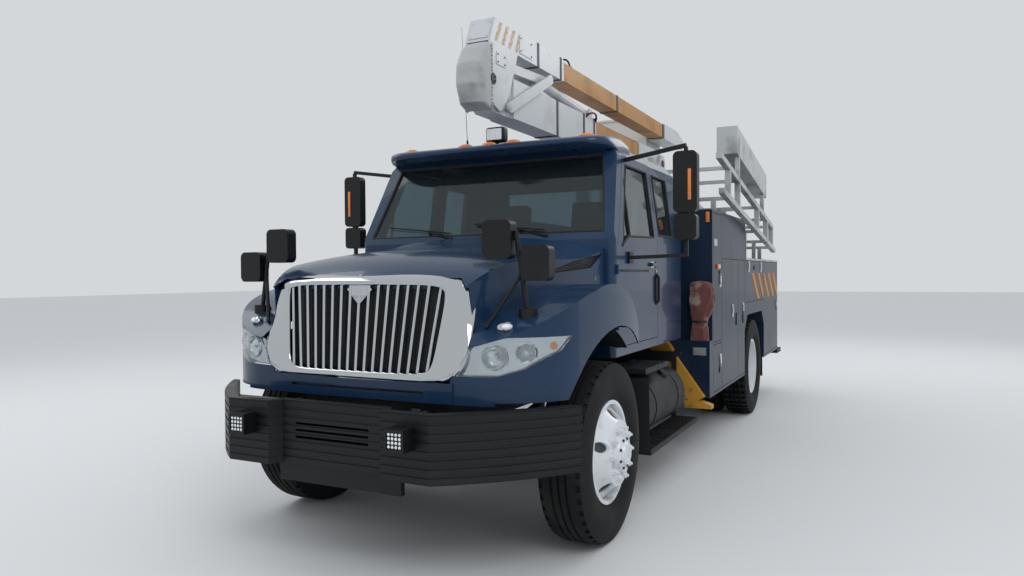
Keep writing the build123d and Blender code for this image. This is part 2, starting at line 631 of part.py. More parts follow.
def hood():
    outer_fender, inner_fender = fender_solid(0), fender_solid(HOOD_THICK)
    middle, middle_inner = hood_middle(0), hood_middle(HOOD_THICK)
    outer = middle + outer_fender + flip(outer_fender)
    hollow = middle_inner + inner_fender + flip(inner_fender)
    below = block((-1300, 1300), (-860, HOOD_REAR + 10), (850, 915))
    behind = block((-925, 925), (HOOD_REAR - 40, HOOD_REAR + 10), (850, 1715))
    arch = rod("x", ARCH_R, (20, 560), 560, 1300)
    opening = prism("xz", [(-455, 1065), (455, 1065), (520, 1490), (-520, 1490)], -1000, -600)
    shell = outer - hollow - below - behind - arch - flip(arch) - opening
    lamp_cut = prism("xz", HEADLAMP, -960, -480)
    shell = shell - lamp_cut - flip(lamp_cut)
    vent = prism("yz", [(-290, 1560), (270, 1600), (420, 1690), (60, 1640)], 700, 1000)
    shell = shell - vent - flip(vent)
    slot = block((-450, 450), (-1000, -850), (970, 990))
    shell = shell - slot - grille_room()
    y, z = HOOD_PIVOT
    lug = rod("x", HOOD_PIN_R + 14, HOOD_PIVOT, *HOOD_LUG_X) + block(HOOD_LUG_X, (y - 24, y + 24), (z, z + 62))
    lug = lug - rod("x", HOOD_PIN_R + PIN_GAP, HOOD_PIVOT, HOOD_LUG_X[0] - 1, HOOD_LUG_X[1] + 1)
    shell = shell + lug + flip(lug)
    biggest = max(shell.solids(), key=lambda solid: solid.volume)
    keep("hood_shell", biggest)
    lamp_shape = make_face(Polyline(*HEADLAMP, close=True))
    lamp_room = extrude(Pos(0, -960, 0) * (Plane.XZ * offset(lamp_shape, -SEAT_GAP)), 480, dir=(0, 1, 0))
    lens = lamp_room & (outer_fender - fender_solid(40))
    lens = max((lens - grille_room()).solids(), key=lambda solid: solid.volume)
    keep("headlamps", lens, flip(lens))


# The grille's front face leans back: y at the foot and at the top, with their heights
NOSE = ((-925.0, 990.0), (-868.0, 1560.0))
GRILLE_DEEP = 25.0


# The nose seen from above, half of it: sideways, and behind the foremost point
NOSE_PLAN = [(0, 0), (300, 5), (470, 16), (570, 62), (645, 140), (715, 245)]


def grille_outline(grow):
    g = grow
    half = [(585 + g, 1000 - g), (602 + g, 1040), (700 + g, 1190), (672 + g, 1290), (664 + g, 1490), (600 + g, 1545 + g)]
    return half + [(-x, z) for x, z in reversed(half)]


def nose_slab(front, back, ahead=0.0):
    """The leaning, bowed slab that lies between two depths behind the nose's face."""
    faces = []
    for y, z in NOSE:
        near = [(x, y + front + dy) for x, dy in NOSE_PLAN]
        far = [(x * (1 - back / 2400), y + back + dy) for x, dy in NOSE_PLAN]
        if ahead:
            line = Polyline((-near[-1][0], -ahead), (near[-1][0], -ahead))
        else:
            line = Spline([(-x, dy) for x, dy in reversed(near[1:])] + near)
        rear = Spline([(-x, dy) for x, dy in reversed(far[1:])] + far)
        ends = [Line(line @ 1, rear @ 1), Line(line @ 0, rear @ 0)]
        faces.append(Pos(0, 0, z) * make_face(Curve() + [line, rear] + ends))
    return loft(faces, ruled=True)


def grille_room():
    """All that lies in front of the grille's rear face."""
    return nose_slab(0, GRILLE_DEEP + SEAT_GAP, ahead=1100) & prism("xz", grille_outline(SEAT_GAP), -1110, -500)


def grille():
    """The bright bars and their surround, leaning with the truck's nose."""
    bars = 17
    low, high = 1050.0, 1505.0
    half_low, half_high = 470.0, 535.0
    sheet, deep = nose_slab(0, GRILLE_DEEP), nose_slab(8, GRILLE_DEEP)
    hole = prism("xz", [(-half_low, low), (half_low, low), (half_high, high), (-half_high, high)], -1010, -690)
    ring = (prism("xz", grille_outline(0), -1000, -500) - hole) & sheet
    teeth = []
    for k in range(bars):
        share = (k + 0.5) / bars * 2 - 1
        teeth.append(prism("xz", [
            (share * half_low - 9, low - 10), (share * half_low + 9, low - 10),
            (share * half_high + 9, high + 10), (share * half_high - 9, high + 10)], -1000, -700) & deep)
    keep("grille", fuse([ring] + teeth))


# Lamps and mirrors

def lamps():
    face = BUMPER_FACE_Y - RIB_DEEP - SEAT_GAP
    pieces = []
    for side in (1, -1):
        x = side * 507
        pieces.append(block((x - 55, x + 55), (face - 85, face), (725, 835)))
    rise = (2512 - BROW_TOP) / (800 - BROW_Y - 20)

    def roof(y):
        return BROW_TOP + rise * (y - BROW_Y - 20) + SEAT_GAP

    # columns: sideways, front, rear, half width, height
    for x, a, b, wide, tall in (
        (0, 600, 650, 60, 26), (196, 600, 650, 60, 26), (-196, 600, 650, 60, 26), (720, 680, 730, 60, 26),
        (-720, 680, 730, 60, 26), (20, 665, 760, 60, 140),
    ):
        side = [(a, roof(a)), (b, roof(b)), (b - 8, roof(b) + tall), (a + 6, roof(a) + tall * 0.9)]
        pieces.append(prism("yz", side, x - wide, x + wide))
    keep("lamps", *pieces)


def door_mirror():
    """The driver's main mirror with its two arms, carried by the door."""
    head = block((1290, 1450), (800, 870), (1965, 2370))
    head = fillet(head.edges().filter_by(Axis.Y), 35)
    low_head = fillet(block((1295, 1445), (800, 880), (1785, 1955)).edges().filter_by(Axis.Y), 30)
    link = block((1350, 1390), (825, 850), (1950, 1970))
    arm_top = bar((CAB_HALF - 90, 880, 2345), (1372, 835, 2410), 26, 26)
    drop_top = block((1358, 1382), (823, 847), (2360, 2400))
    arm_low = bar((CAB_HALF - 20, 760, 1670), (1372, 840, 1682), 24, 24)
    drop_low = block((1358, 1382), (828, 852), (1675, 1800))
    foot_low = block((CAB_HALF - 20, CAB_HALF + 18), (720, 800), (1630, 1710))
    mirror_set = fuse([head, low_head, link, arm_top, drop_top, arm_low, drop_low, foot_low]) - cab_solid(-SEAT_GAP)
    return max(mirror_set.solids(), key=lambda solid: solid.volume)


def fender_mirror():
    """A post on the fender with a flat and a round mirror, and its brace."""
    foot = Pos(920, -660, 1350) * Cylinder(48, 70)
    top, brace_top = (852, -660, 1790), (880, -660, 1560)
    post = tube((920, -660, 1350), top, 13)
    brace = tube((742, -790, 1290), brace_top, 11)
    # columns: sideways, height, half width, half height, where its neck meets the post
    heads = []
    for x, z, wide, tall, neck_x in ((756, 1746, 85, 102, 858), (978, 1620, 80, 92, 878)):
        head = fillet(block((x - wide, x + wide), (-700, -625), (z - tall, z + tall)).edges().filter_by(Axis.Y), 34)
        heads += [head, tube((x, -660, z), (neck_x, -660, z + 8), 12)]
    return fuse([foot, post, brace] + heads)


def mirrors():
    left = door_mirror()
    keep("mirror_left", left)
    keep("mirror_right", flip(left))
    pole = fender_mirror() - fender_solid(0) - hood_middle(0)
    pole = max(pole.solids(), key=lambda solid: solid.volume)
    keep("fender_mirrors", pole, flip(pole))


# Service body

def compartments():
    """Door openings as (name, y ends, z ends) with the side's whole skin."""
    well = (WHEELBASE - WELL_HALF, WHEELBASE + WELL_HALF)
    return [
        ("front_upper", (2460.0, 2795.0), (965.0, 2080.0), "y"),
        ("front_lower", (2460.0, 2795.0), (530.0, 935.0), "y"),
        ("middle_a", (2835.0, well[0] - 402), (530.0, 1690.0), "y"),
        ("middle_b", (well[0] - 362, well[0] - 45), (530.0, 1690.0), "y"),
        ("wheel", (well[0], well[1]), (1255.0, 1690.0), "z"),
        ("rear", (well[1] + 45, 6310.0), (590.0, 1690.0), "y"),
    ]


def right_compartments():
    well = (WHEELBASE - WELL_HALF, WHEELBASE + WELL_HALF)
    return [
        ("front", (2460.0, well[0] - 45), (530.0, 1690.0), "y"),
        ("wheel", (well[0], well[1]), (1255.0, 1690.0), "z"),
        ("rear", (well[1] + 45, 6310.0), (590.0, 1690.0), "y"),
    ]


def body_side(table):
    """One side of the service body: a walled box with a cavity behind each door."""
    front, rear = BODY_Y
    well = (WHEELBASE - WELL_HALF, WHEELBASE + WELL_HALF)
    outline = [
        (front, BODY_BOTTOM), (well[0] - 20, BODY_BOTTOM), (well[0] - 20, WELL_TOP - 160), (well[0] + 140, WELL_TOP),
        (well[1] - 140, WELL_TOP), (well[1] + 20, WELL_TOP - 160), (well[1] + 20, 560), (rear, 560), (rear, SHELF_TOP),
        (RAISED_REAR, SHELF_TOP), (RAISED_REAR, RAISED_TOP), (front, RAISED_TOP),
    ]
    side = prism("yz", outline, BODY_IN, BODY_OUT)
    lip = 14.0
    for name, y, z, hinge in table:
        skin = block((BODY_OUT - DOOR_THICK, BODY_OUT + 5), (y[0] - PANEL_GAP, y[1] + PANEL_GAP),
                     (z[0] - PANEL_GAP, z[1] + PANEL_GAP))
        room = block((BODY_IN + BODY_WALL, BODY_OUT), (y[0] + lip, y[1] - lip), (z[0] + lip, z[1] - lip))
        side = side - skin - room
    return side


def service_body():
    left = body_side(compartments())
    right = flip(body_side(right_compartments()))
    keep("body_compartments", left, right)
    for side, table in (("left", compartments()), ("right", right_compartments())):
        for name, y, z, hinge in table:
            panel = block((BODY_OUT - DOOR_THICK + SEAT_GAP, BODY_OUT), y, z)
            if hinge == "y":
                latch = block((BODY_OUT - 1, BODY_OUT + 8), (y[1] - 95, y[1] - 45), ((z[0] + z[1]) / 2 - 60, (z[0] + z[1]) / 2 + 60))
            else:
                latch = block((BODY_OUT - 1, BODY_OUT + 8), ((y[0] + y[1]) / 2 - 60, (y[0] + y[1]) / 2 + 60), (z[1] - 95, z[1] - 45))
            panel = panel + latch
            keep(f"body_door_{side}_{name}", panel if side == "left" else flip(panel))

    inner = BODY_IN - SEAT_GAP
    deck = block((-inner, inner), BODY_Y, DECK_Z)
    for side in (1, -1):
        x = side * (RAIL_OUT - RAIL_FLANGE / 2)
        deck = deck + block((x - 40, x + 40), BODY_Y, (RAIL_Z[1] + SEAT_GAP, DECK_Z[0] + 5))
    tail = block((-inner, inner), (BODY_Y[1] - 25, BODY_Y[1]), (DECK_Z[0], 1450))
    keep("body_deck", deck + tail)


def rack():
    """The sloping rack on the driver's side, with the long stick box on its outer rail."""
    upper = (2360.0, 2559.0, 5347.0, 0.1533)    # front end's y and z, rear end's y, fall per mm
    lower = (2472.0, 2269.0, 5515.0, 0.1439)
    out_x, in_x = (RACK_OUT - 50, RACK_OUT), (650.0, 700.0)

    def height(rail, y):
        return rail[1] - rail[3] * (y - rail[0])

    pieces = []
    for rail in (upper, lower):
        a, b = rail[0], rail[2]
        line = [(a, height(rail, a) - 25), (a, height(rail, a) + 25), (b, height(rail, b) + 25), (b, height(rail, b) - 25)]
        pieces += [prism("yz", line, *out_x), prism("yz", line, *in_x)]
    for y in (2750.0, 3200.0, 4300.0, 4900.0, 5300.0):
        foot = (RAISED_TOP if y < RAISED_REAR else SHELF_TOP) + SEAT_GAP
        for x in (out_x, in_x):
            pieces.append(block(x, (y - 20, y + 20), (height(lower, y), height(upper, y))))
        for rail in (upper, lower):
            z = height(rail, y)
            pieces.append(block((in_x[0], out_x[1]), (y - 16, y + 16), (z - 16, z + 16)))
        for x in ((BODY_OUT - 80, BODY_OUT - 40), (BODY_IN + 20, BODY_IN + 60)):
            pieces.append(block(x, (y - 20, y + 20), (foot, height(lower, y))))
    a, b = STICK_BOX_Y
    fall, tall = 0.152, 256.0

    def sill(y):
        return STICK_BOX_Z - fall * (y - a)

    for y in (3200.0, 4640.0):
        top = [(y - 20, sill(y - 20) - SEAT_GAP), (y + 20, sill(y + 20) - SEAT_GAP)]
        line = top + [(y + 20, height(upper, y)), (y - 20, height(upper, y))]
        pieces.append(prism("yz", line, out_x[0] + 5, out_x[1] - 5))
    line = [(a, sill(a)), (b, sill(b)), (b, sill(b) + tall), (a, sill(a) + tall)]
    keep("ladder_rack", fuse(pieces), prism("yz", line, RACK_OUT - 188, RACK_OUT))


def outriggers():
    """Slanting legs that slide in sleeves behind the cab."""
    y = OUTRIGGER_Y
    middle_y = (y[0] + y[1]) / 2
    top, foot = Vector(790, middle_y, 935), Vector(1120, middle_y, 480)
    way = (foot - top).normalized()
    leg_w, leg_t, wall = 130.0, y[1] - y[0] - 34, 12.0

    def along(a, b, grow):
        return bar(tuple(top + way * a), tuple(top + way * b), leg_t + 2 * grow, leg_w + 2 * grow)

    ground = block((800, 1500), (y[0] - 50, y[1] + 50), (-100, FOOT_Z))
    leg = along(-620, 560, 0) - ground
    pad = prism("xz", [(1010, FOOT_Z), (1235, FOOT_Z), (1235, FOOT_Z + 30), (1150, FOOT_Z + 60), (1010, FOOT_Z + 60)], *y)
    leg = leg + pad
    slack = SEAT_GAP
    sleeve = along(-560, 90, wall + slack) - along(-800, 700, slack)
    beam = block((-680, 680), y, (RAIL_Z[1] + SEAT_GAP, RAIL_Z[1] + 110))
    housing = (beam - along(-800, 700, slack) - flip(along(-800, 700, slack))) + sleeve + flip(sleeve)
    keep("outrigger_housing", housing)
    keep("outrigger_left", leg)
    keep("outrigger_right", flip(leg))


def control_cover():
    """The soft cover over the ground controls, on a ledge in front of the body."""
    ledge_top = 984.0
    ledge = block((870, BODY_OUT), (OUTRIGGER_Y[1] + 10, BODY_Y[0] - SEAT_GAP), (500, ledge_top))
    parts["body_deck"] += ledge.solids()
    # columns: height above the ledge, width, depth, sideways shift
    table = [(SEAT_GAP, 170, 84, 0), (160, 150, 78, 0), (310, 230, 96, 20), (440, 225, 96, 20), (512, 130, 70, 0)]
    rings = [Pos(BODY_OUT - 95 + shift, 2362, ledge_top + z) * Rectangle(wide, deep) for z, wide, deep, shift in table]
    keep("control_cover", loft(rings, ruled=True))


# Booms

def turret():
    deck = DECK_Z[1] + SEAT_GAP
    column = [
        rod("z", 300, (0, TURRET_Y), deck, deck + 30), rod("z", 225, (0, TURRET_Y), deck + 25, TABLE_Z - 60),
        rod("z", 290, (0, TURRET_Y), TABLE_Z - 60, TABLE_Z),
    ]
    rest_y = (2440.0, 2520.0)
    rest = block((-60, 60), rest_y, (deck, LOWER_Z[0] - 30)) + block(
        (-BOOM_HALF, BOOM_HALF), rest_y, (LOWER_Z[0] - 30, LOWER_Z[0] - SEAT_GAP))
    keep("pedestal", fuse(column), rest)

    base = TABLE_Z + SEAT_GAP
    top = base + 45
    y, z = LOWER_PIN
    inner, outer = BOOM_HALF, BOOM_HALF + EAR_THICK
    ear = prism("yz", [
        (y - 390, top - 5), (y + 140, top - 5), (y + 140, 2200), (y + 115, z + 50), (y + 70, z + 100), (y - 50, z + 100),
        (y - 100, z + 40), (y - 160, 2500), (y - 290, 2110), (y - 390, 2040)], inner, outer)
    pieces = [rod("z", 300, (0, TURRET_Y), base, top), ear, flip(ear), block((-inner, inner), (y - 150, y - 130), (top, 2500))]
    pieces.append(rod("x", LOWER_PIN_R, LOWER_PIN, -outer, outer))
    pieces.append(rod("x", LIFT_PIN_R, LIFT_FOOT, -outer, outer))
    keep("turret", fuse(pieces))


def cylinder_pair(foot, eye, barrel_r, rod_r, pin_r, short, half):
    """A barrel with its foot eye, and the rod inside it with its own eye; both lie in the X = 0 plane."""
    way = Vector(0, eye[0] - foot[0], eye[1] - foot[1])
    length = way.length
    way = way.normalized()
    start = Vector(0, *foot)

    def along(a, b, radius):
        return tube(tuple(start + way * a), tuple(start + way * b), radius)

    barrel = along(30, length - 58, barrel_r) - along(24, length, rod_r + PIN_GAP)
    barrel = barrel + rod("x", pin_r + 20, foot, -half, half) - rod("x", pin_r + PIN_GAP, foot, -half - 5, half + 5)
    eye_end = rod("x", pin_r + 20, eye, -half, half) - rod("x", pin_r + 2, eye, -half - 5, half + 5)
    stem = along(short, length - pin_r - 10, rod_r)
    return barrel, stem + eye_end


def lower_boom():
    half = BOOM_HALF
    steel_end, root_start, socket = 2550.0, 3900.0, 200.0
    low, high = LOWER_Z
    insert_z, insert_half = (2830.0, 2985.0), half - 15
    insert_y = (steel_end - socket, root_start + socket)
    insert = block((-insert_half, insert_half), insert_y, insert_z)
    g = SEAT_GAP
    hole = block((-insert_half - g, insert_half + g), (insert_y[0] - g, insert_y[1] + g), (insert_z[0] - g, insert_z[1] + g))
    y, z = ELBOW_PIN
    tongue = prism("yz", [
        (y - 60, z - 60), (y - 80, z - 20), (y - 80, z + 20), (y - 50, z + 60), (y + 60, high - 10), (840, high), (840, low),
        (y + 60, low), (y - 30, z - 100)], -half + 20, half - 20)
    shell = block((-half, half), (830, steel_end), LOWER_Z)
    core = block((-half + 12, half - 12), (900, insert_y[0] - 30), (low + 12, high - 12))
    rocker_pin = rod("x", ROCKER_PIN_R, ROCKER_PIN, -half - 30, half + 30)
    foot = ELBOW_FOOT
    ear = prism("yz", [(foot[0] - 75, high - 5), (foot[0] - 35, foot[1] + 45), (foot[0] + 35, foot[1] + 45),
                       (foot[0] + 48, high - 5)], 52, 66)
    pin = rod("x", ELBOW_FOOT_R, foot, -60, 60)
    front = fuse([shell - core, tongue, rocker_pin, ear, flip(ear), pin]) - hole
    front = front - rod("x", ELBOW_PIN_R + PIN_GAP, ELBOW_PIN, -half, half)

    y, z = LOWER_PIN
    root_half = half - MOVE_GAP
    root_low = insert_z[0] - 15
    root = prism("yz", [(root_start, root_low), (root_start, high), (y - 40, high), (y + 20, z + 75), (y + 60, z + 50),
                        (y + 75, z), (y + 50, z - 55), (y, z - 75), (y - 80, root_low)], -root_half, root_half)
    eye = LIFT_EYE
    lug = prism("yz", [(eye[0] - 70, root_low + 5), (eye[0] + 70, root_low + 5), (eye[0] + 35, eye[1] - 45),
                       (eye[0] - 35, eye[1] - 45)], 56, 72)
    boss = rod("x", LIFT_PIN_R, eye, 53, 72)
    rear = fuse([root, lug, flip(lug), boss, flip(boss)]) - hole
    rear = rear - rod("x", LOWER_PIN_R + PIN_GAP, LOWER_PIN, -half, half)
    keep("lower_boom_steel", front, rear)
    keep("lower_boom_insert", insert)
    barrel, stem = cylinder_pair(LIFT_FOOT, LIFT_EYE, 50, 32, LIFT_PIN_R, 52, 46)
    keep("lift_barrel", barrel)
    keep("lift_rod", stem)


def elbow_plate():
    """The elbow plate's outline, in (y, z)."""
    y, z = ELBOW_PIN
    high = UPPER_Z[1]
    return [(y + 40, high), (y - 40, 3180), (y - 75, z + 120), (y - 90, z), (y - 60, z - 100), (y + 20, z - 180),
            (y + 110, z - 210), (y + 175, z - 165), (y + 265, z - 40), (y + 390, 3185), (y + 390, high)]


def upper_boom():
    half = BOOM_HALF
    plate = 16.0
    y, z = ELBOW_PIN
    start, steel_end, tip_start, tip_end, socket = y - 38, 1780.0, 4910.0, 5790.0, 200.0
    cheek = prism("yz", elbow_plate(), half - plate, half)
    shell = prism("yz", [(start, UPPER_Z[0]), (steel_end, UPPER_Z[0]), (steel_end, UPPER_Z[1]), (y + 40, UPPER_Z[1])],
                  -half, half)
    g = SEAT_GAP
    insert_half, insert_z = half - 12, (UPPER_Z[0] + 12, UPPER_Z[1] - 12)
    insert_y = (steel_end - socket, tip_start + socket)
    insert = block((-insert_half, insert_half), insert_y, insert_z)
    hole = block((-insert_half - g, insert_half + g), (y + 65, insert_y[1] + g), (insert_z[0] - g, insert_z[1] + g))
    tip = prism("yz", [(tip_start, UPPER_Z[0]), (tip_start, UPPER_Z[1]), (tip_end - 300, UPPER_Z[1]),
                       (tip_end, UPPER_Z[1] - 70), (tip_end, UPPER_Z[0])], -half, half)
    pins = [rod("x", ELBOW_PIN_R, ELBOW_PIN, -half, half), rod("x", PLATE_PIN_R, PLATE_PIN, -half, half)]
    stub = rod("x", BUCKET_PIN_R, BUCKET_PIN, -half - 38, -half + 2)
    keep("upper_boom_steel", fuse([shell - hole, cheek, flip(cheek)] + pins), (tip - hole) + stub)
    keep("upper_boom_insert", insert)

    grown = offset(make_face(Polyline(*elbow_plate(), close=True)), SEAT_GAP)
    keep_clear = extrude(Pos(-half - 50, 0, 0) * (Plane.YZ * grown), 2 * half + 100, dir=(1, 0, 0))
    bulge = prism("yz", [(y + 10, 3178), (y - 10, z - 100), (y - 30, z - 215), (y - 110, z - 190), (y - 165, z - 60),
                         (y - 160, z + 100), (y - 100, z + 240), (y - 40, 3178)], -half - 4, half + 4)
    tongue = block((-half + 10, half - 10), (y - 90, y + 100), (z - 130, z + 120))
    keep("elbow_cover", max((bulge - keep_clear - tongue).solids(), key=lambda solid: solid.volume))


def elbow_linkage():
    """The rocker, the link and the cylinder that unfold the upper boom."""
    half = BOOM_HALF

    def strap(a, b, x, radius):
        middle, way = Vector(0, *a) + (Vector(0, *b) - Vector(0, *a)) * 0.5, Vector(0, *b) - Vector(0, *a)
        plane = Plane(origin=middle + Vector((x[0] + x[1]) / 2, 0, 0), z_dir=way.normalized(), x_dir=(1, 0, 0))
        flat = plane * Box(x[1] - x[0], 2 * radius, way.length)
        return flat + rod("x", radius, a, *x) + rod("x", radius, b, *x)

    outer = strap(ROCKER_PIN, ROCKER_TOP, (half + MOVE_GAP, half + MOVE_GAP + 20), 38)
    outer = outer - rod("x", ROCKER_PIN_R + PIN_GAP, ROCKER_PIN, half, half + 40)
    outer = outer + rod("x", PLATE_PIN_R, ROCKER_TOP, 72, half + MOVE_GAP + 2)
    keep("rocker", outer, flip(outer))
    inner = strap(PLATE_PIN, ROCKER_TOP, (50, 66), 34) - rod("x", PLATE_PIN_R + PIN_GAP, PLATE_PIN, 40, 80)
    keep("link", inner, flip(inner))
    barrel, stem = cylinder_pair(ELBOW_FOOT, ROCKER_TOP, 43, 24, ELBOW_FOOT_R, 90, 44)
    keep("elbow_barrel", barrel)
    keep("elbow_rod", stem)


def bucket():
    x = (-BUCKET_IN - BUCKET_SIZE, -BUCKET_IN)
    y = (BUCKET_PIN[0] - BUCKET_SIZE / 2, BUCKET_PIN[0] + BUCKET_SIZE / 2)
    wall, lip = 10.0, 14.0
    low, high = BUCKET_Z
    outer = block(x, y, BUCKET_Z)
    rim = block((x[0] - lip, x[1] + lip * 0.6), (y[0] - lip, y[1] + lip), (high - 25, high))
    inside = block((x[0] + wall, x[1] - wall), (y[0] + wall, y[1] - wall), (low + wall, high + 10))
    boss = rod("x", BUCKET_PIN_R + 45, BUCKET_PIN, -BUCKET_IN - 1, -BOOM_HALF - MOVE_GAP)
    pocket = rod("x", BUCKET_PIN_R + PIN_GAP, BUCKET_PIN, -BUCKET_IN, -BOOM_HALF)
    keep("bucket", (outer + rim + boss) - inside - pocket)


MAKERS = (wheels, frame_rails, axles, knuckles, steps, bumper, cab, cab_interior, hood, grille, lamps,
          mirrors, service_body, rack, outriggers, control_cover, turret, lower_boom, upper_boom, elbow_linkage, bucket)


def make_all():
    """Makes every piece and returns the shift in Y that centres the truck."""
    for make in MAKERS:
        make()
    boxes = [solid.bounding_box() for solids in parts.values() for solid in solids]
    return -(min(b.min.Y for b in boxes) + max(b.max.Y for b in boxes)) / 2


def main():
    shift = make_all()
    os.makedirs("parts", exist_ok=True)
    for name, solids in parts.items():
        export_step(Pos(0, shift, 0) * Compound(children=solids), f"parts/{name}.step")


if __name__ == "__main__":
    main()
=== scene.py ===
# %% [markdown]
# # Cherry picker truck
# The solids come from the CAD model and stay as they are. This script paints them, adds what is too small
# or too soft for CAD, such as the tread, nuts, hoses, wipers and covers, and sets up a plain studio.

# %% Load the frame
import math

import bmesh
import bpy
from mathutils import Matrix, Vector


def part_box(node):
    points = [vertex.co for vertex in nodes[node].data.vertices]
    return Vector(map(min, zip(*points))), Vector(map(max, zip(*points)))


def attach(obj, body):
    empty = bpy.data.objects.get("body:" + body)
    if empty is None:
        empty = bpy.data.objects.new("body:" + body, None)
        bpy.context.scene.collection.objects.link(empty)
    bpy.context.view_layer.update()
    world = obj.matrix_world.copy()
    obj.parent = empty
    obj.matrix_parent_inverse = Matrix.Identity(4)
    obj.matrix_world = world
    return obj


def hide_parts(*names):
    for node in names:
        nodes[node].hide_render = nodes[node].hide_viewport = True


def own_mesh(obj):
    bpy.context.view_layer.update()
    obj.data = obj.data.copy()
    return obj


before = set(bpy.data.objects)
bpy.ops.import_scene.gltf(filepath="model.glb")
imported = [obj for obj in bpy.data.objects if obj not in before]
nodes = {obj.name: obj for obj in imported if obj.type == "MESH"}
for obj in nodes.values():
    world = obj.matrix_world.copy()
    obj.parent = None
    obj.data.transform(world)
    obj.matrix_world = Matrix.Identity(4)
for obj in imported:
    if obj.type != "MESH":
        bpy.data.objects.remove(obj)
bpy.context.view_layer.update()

# %% [markdown]
# Places on a truck are easiest to name from its front axle. The frame's origin is the truck's middle, so
# one helper adds the axle's place, which is read off a front tyre.

# %% A place on the truck
tyre_low, tyre_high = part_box("tyre_front_left")
AXLE_Y = (tyre_low.y + tyre_high.y) / 2
AXLE_Z = (tyre_low.z + tyre_high.z) / 2


def place(x, y, z):
    """A point with y counted from the front axle."""
    return Vector((x, y + AXLE_Y, z))


print("front axle at", round(AXLE_Y, 4), round(AXLE_Z, 4))

# %% [markdown]
# A material is a small tree of nodes. One function adds a node, sets its values and joins its inputs, and
# one turns a colour as it is seen on a screen into the linear light that the shader works in.

# %% Node and colour helpers


def linear(hex_colour):
    """An sRGB hex colour as linear red, green, blue and alpha."""
    channels = [int(hex_colour[i:i + 2], 16) / 255 for i in (1, 3, 5)]
    return tuple(c / 12.92 if c <= 0.04045 else ((c + 0.055) / 1.055) ** 2.4 for c in channels) + (1.0,)


def add(tree, kind, inputs=None, **settings):
    """Adds a node; inputs maps a socket's name or number to a value or to another node's output."""
    node = tree.nodes.new(kind)
    for name, value in settings.items():
        setattr(node, name, value)
    for socket, value in (inputs or {}).items():
        if isinstance(value, bpy.types.NodeSocket):
            tree.links.new(value, node.inputs[socket])
        else:
            node.inputs[socket].default_value = value
    return node


def finish(name, hex_colour, roughness, **sockets):
    """A material with one Principled shader; sockets are named with _ for a space."""
    material = bpy.data.materials.new(name)
    material.use_nodes = True
    tree = material.node_tree
    shader = tree.nodes["Principled BSDF"]
    shader.inputs["Base Color"].default_value = linear(hex_colour)
    shader.inputs["Roughness"].default_value = roughness
    for socket, value in sockets.items():
        shader.inputs[socket.replace("_", " ")].default_value = value
    return material


print("mid grey in linear light", round(linear("#808080")[0], 3))

# %% [markdown]
# Real paint is never one flat colour: dust lies in soft clouds, and rust and scuffs come as small ragged
# spots. Both are noise on Object coordinates, so that they have a real size and stay on the piece.

# %% Wear helpers


def grain(tree, size_mm, detail=4.0):
    """Noise whose blotches are about size_mm across."""
    where = add(tree, "ShaderNodeTexCoord").outputs["Object"]
    return add(tree, "ShaderNodeTexNoise", {"Vector": where, "Scale": 1000 / size_mm, "Detail": detail})


def blotches(material, hex_colour, size_mm, start, end, rough=None):
    """Mixes a second colour in where the noise is over start, fully over end; rough is its roughness there."""
    tree = material.node_tree
    shader = tree.nodes["Principled BSDF"]
    noise = grain(tree, size_mm)
    share = add(tree, "ShaderNodeMapRange", {"Value": noise.outputs["Fac"], "From Min": start, "From Max": end})
    socket = shader.inputs["Base Color"]
    mix = add(tree, "ShaderNodeMix", {"Factor": share.outputs["Result"]}, data_type="RGBA")
    if socket.links:
        tree.links.new(socket.links[0].from_socket, mix.inputs[6])
    else:
        mix.inputs[6].default_value = socket.default_value
    mix.inputs[7].default_value = linear(hex_colour)
    tree.links.new(mix.outputs[2], socket)
    if rough is not None:
        base = shader.inputs["Roughness"].default_value
        level = add(tree, "ShaderNodeMapRange", {"Value": share.outputs["Result"], "To Min": base, "To Max": rough})
        tree.links.new(level.outputs["Result"], shader.inputs["Roughness"])
    return material


def pebbled(material, size_mm, depth_mm, strength=0.6):
    """A fine bumpy surface, such as moulded plastic's or cast iron's."""
    tree = material.node_tree
    height = grain(tree, size_mm, 2.0).outputs["Fac"]
    bump = add(tree, "ShaderNodeBump", {"Height": height, "Distance": depth_mm / 1000, "Strength": strength})
    tree.links.new(bump.outputs["Normal"], tree.nodes["Principled BSDF"].inputs["Normal"])
    return material


print("a 5 mm grain is noise at a scale of", 1000 / 5)

# %% [markdown]
# The cab, hood and service body are steel under blue two-layer truck enamel: colour below and a clear
# lacquer on top, which gives the sharp reflections. The coat does that, and road dust dulls it in clouds.

# %% Paints
blue_enamel = finish("blue_truck_enamel", "#17314E", 0.26, Specular_IOR_Level=0.2, Coat_Weight=0.35,
                     Coat_Roughness=0.03)
blotches(blue_enamel, "#213E5C", 900, 0.5, 0.75, rough=0.45)
body_enamel = finish("body_blue_enamel", "#122338", 0.42, Specular_IOR_Level=0.2, Coat_Weight=0.2, Coat_Roughness=0.06)
blotches(body_enamel, "#1B2D42", 500, 0.5, 0.75, rough=0.5)
boom_enamel = finish("boom_grey_white_enamel", "#C3C7CB", 0.38, Coat_Weight=0.3, Coat_Roughness=0.2)
blotches(boom_enamel, "#ABB0B4", 260, 0.52, 0.8, rough=0.6)
blotches(boom_enamel, "#7A5A40", 45, 0.74, 0.80, rough=0.85)
yellow_enamel = finish("outrigger_yellow_enamel", "#B98A2E", 0.45)
blotches(yellow_enamel, "#6A5330", 120, 0.55, 0.72, rough=0.8)
wheel_enamel = finish("white_wheel_enamel", "#DDE2E6", 0.3, Coat_Weight=0.5, Coat_Roughness=0.15)
blotches(wheel_enamel, "#A9A59C", 90, 0.58, 0.8, rough=0.7)
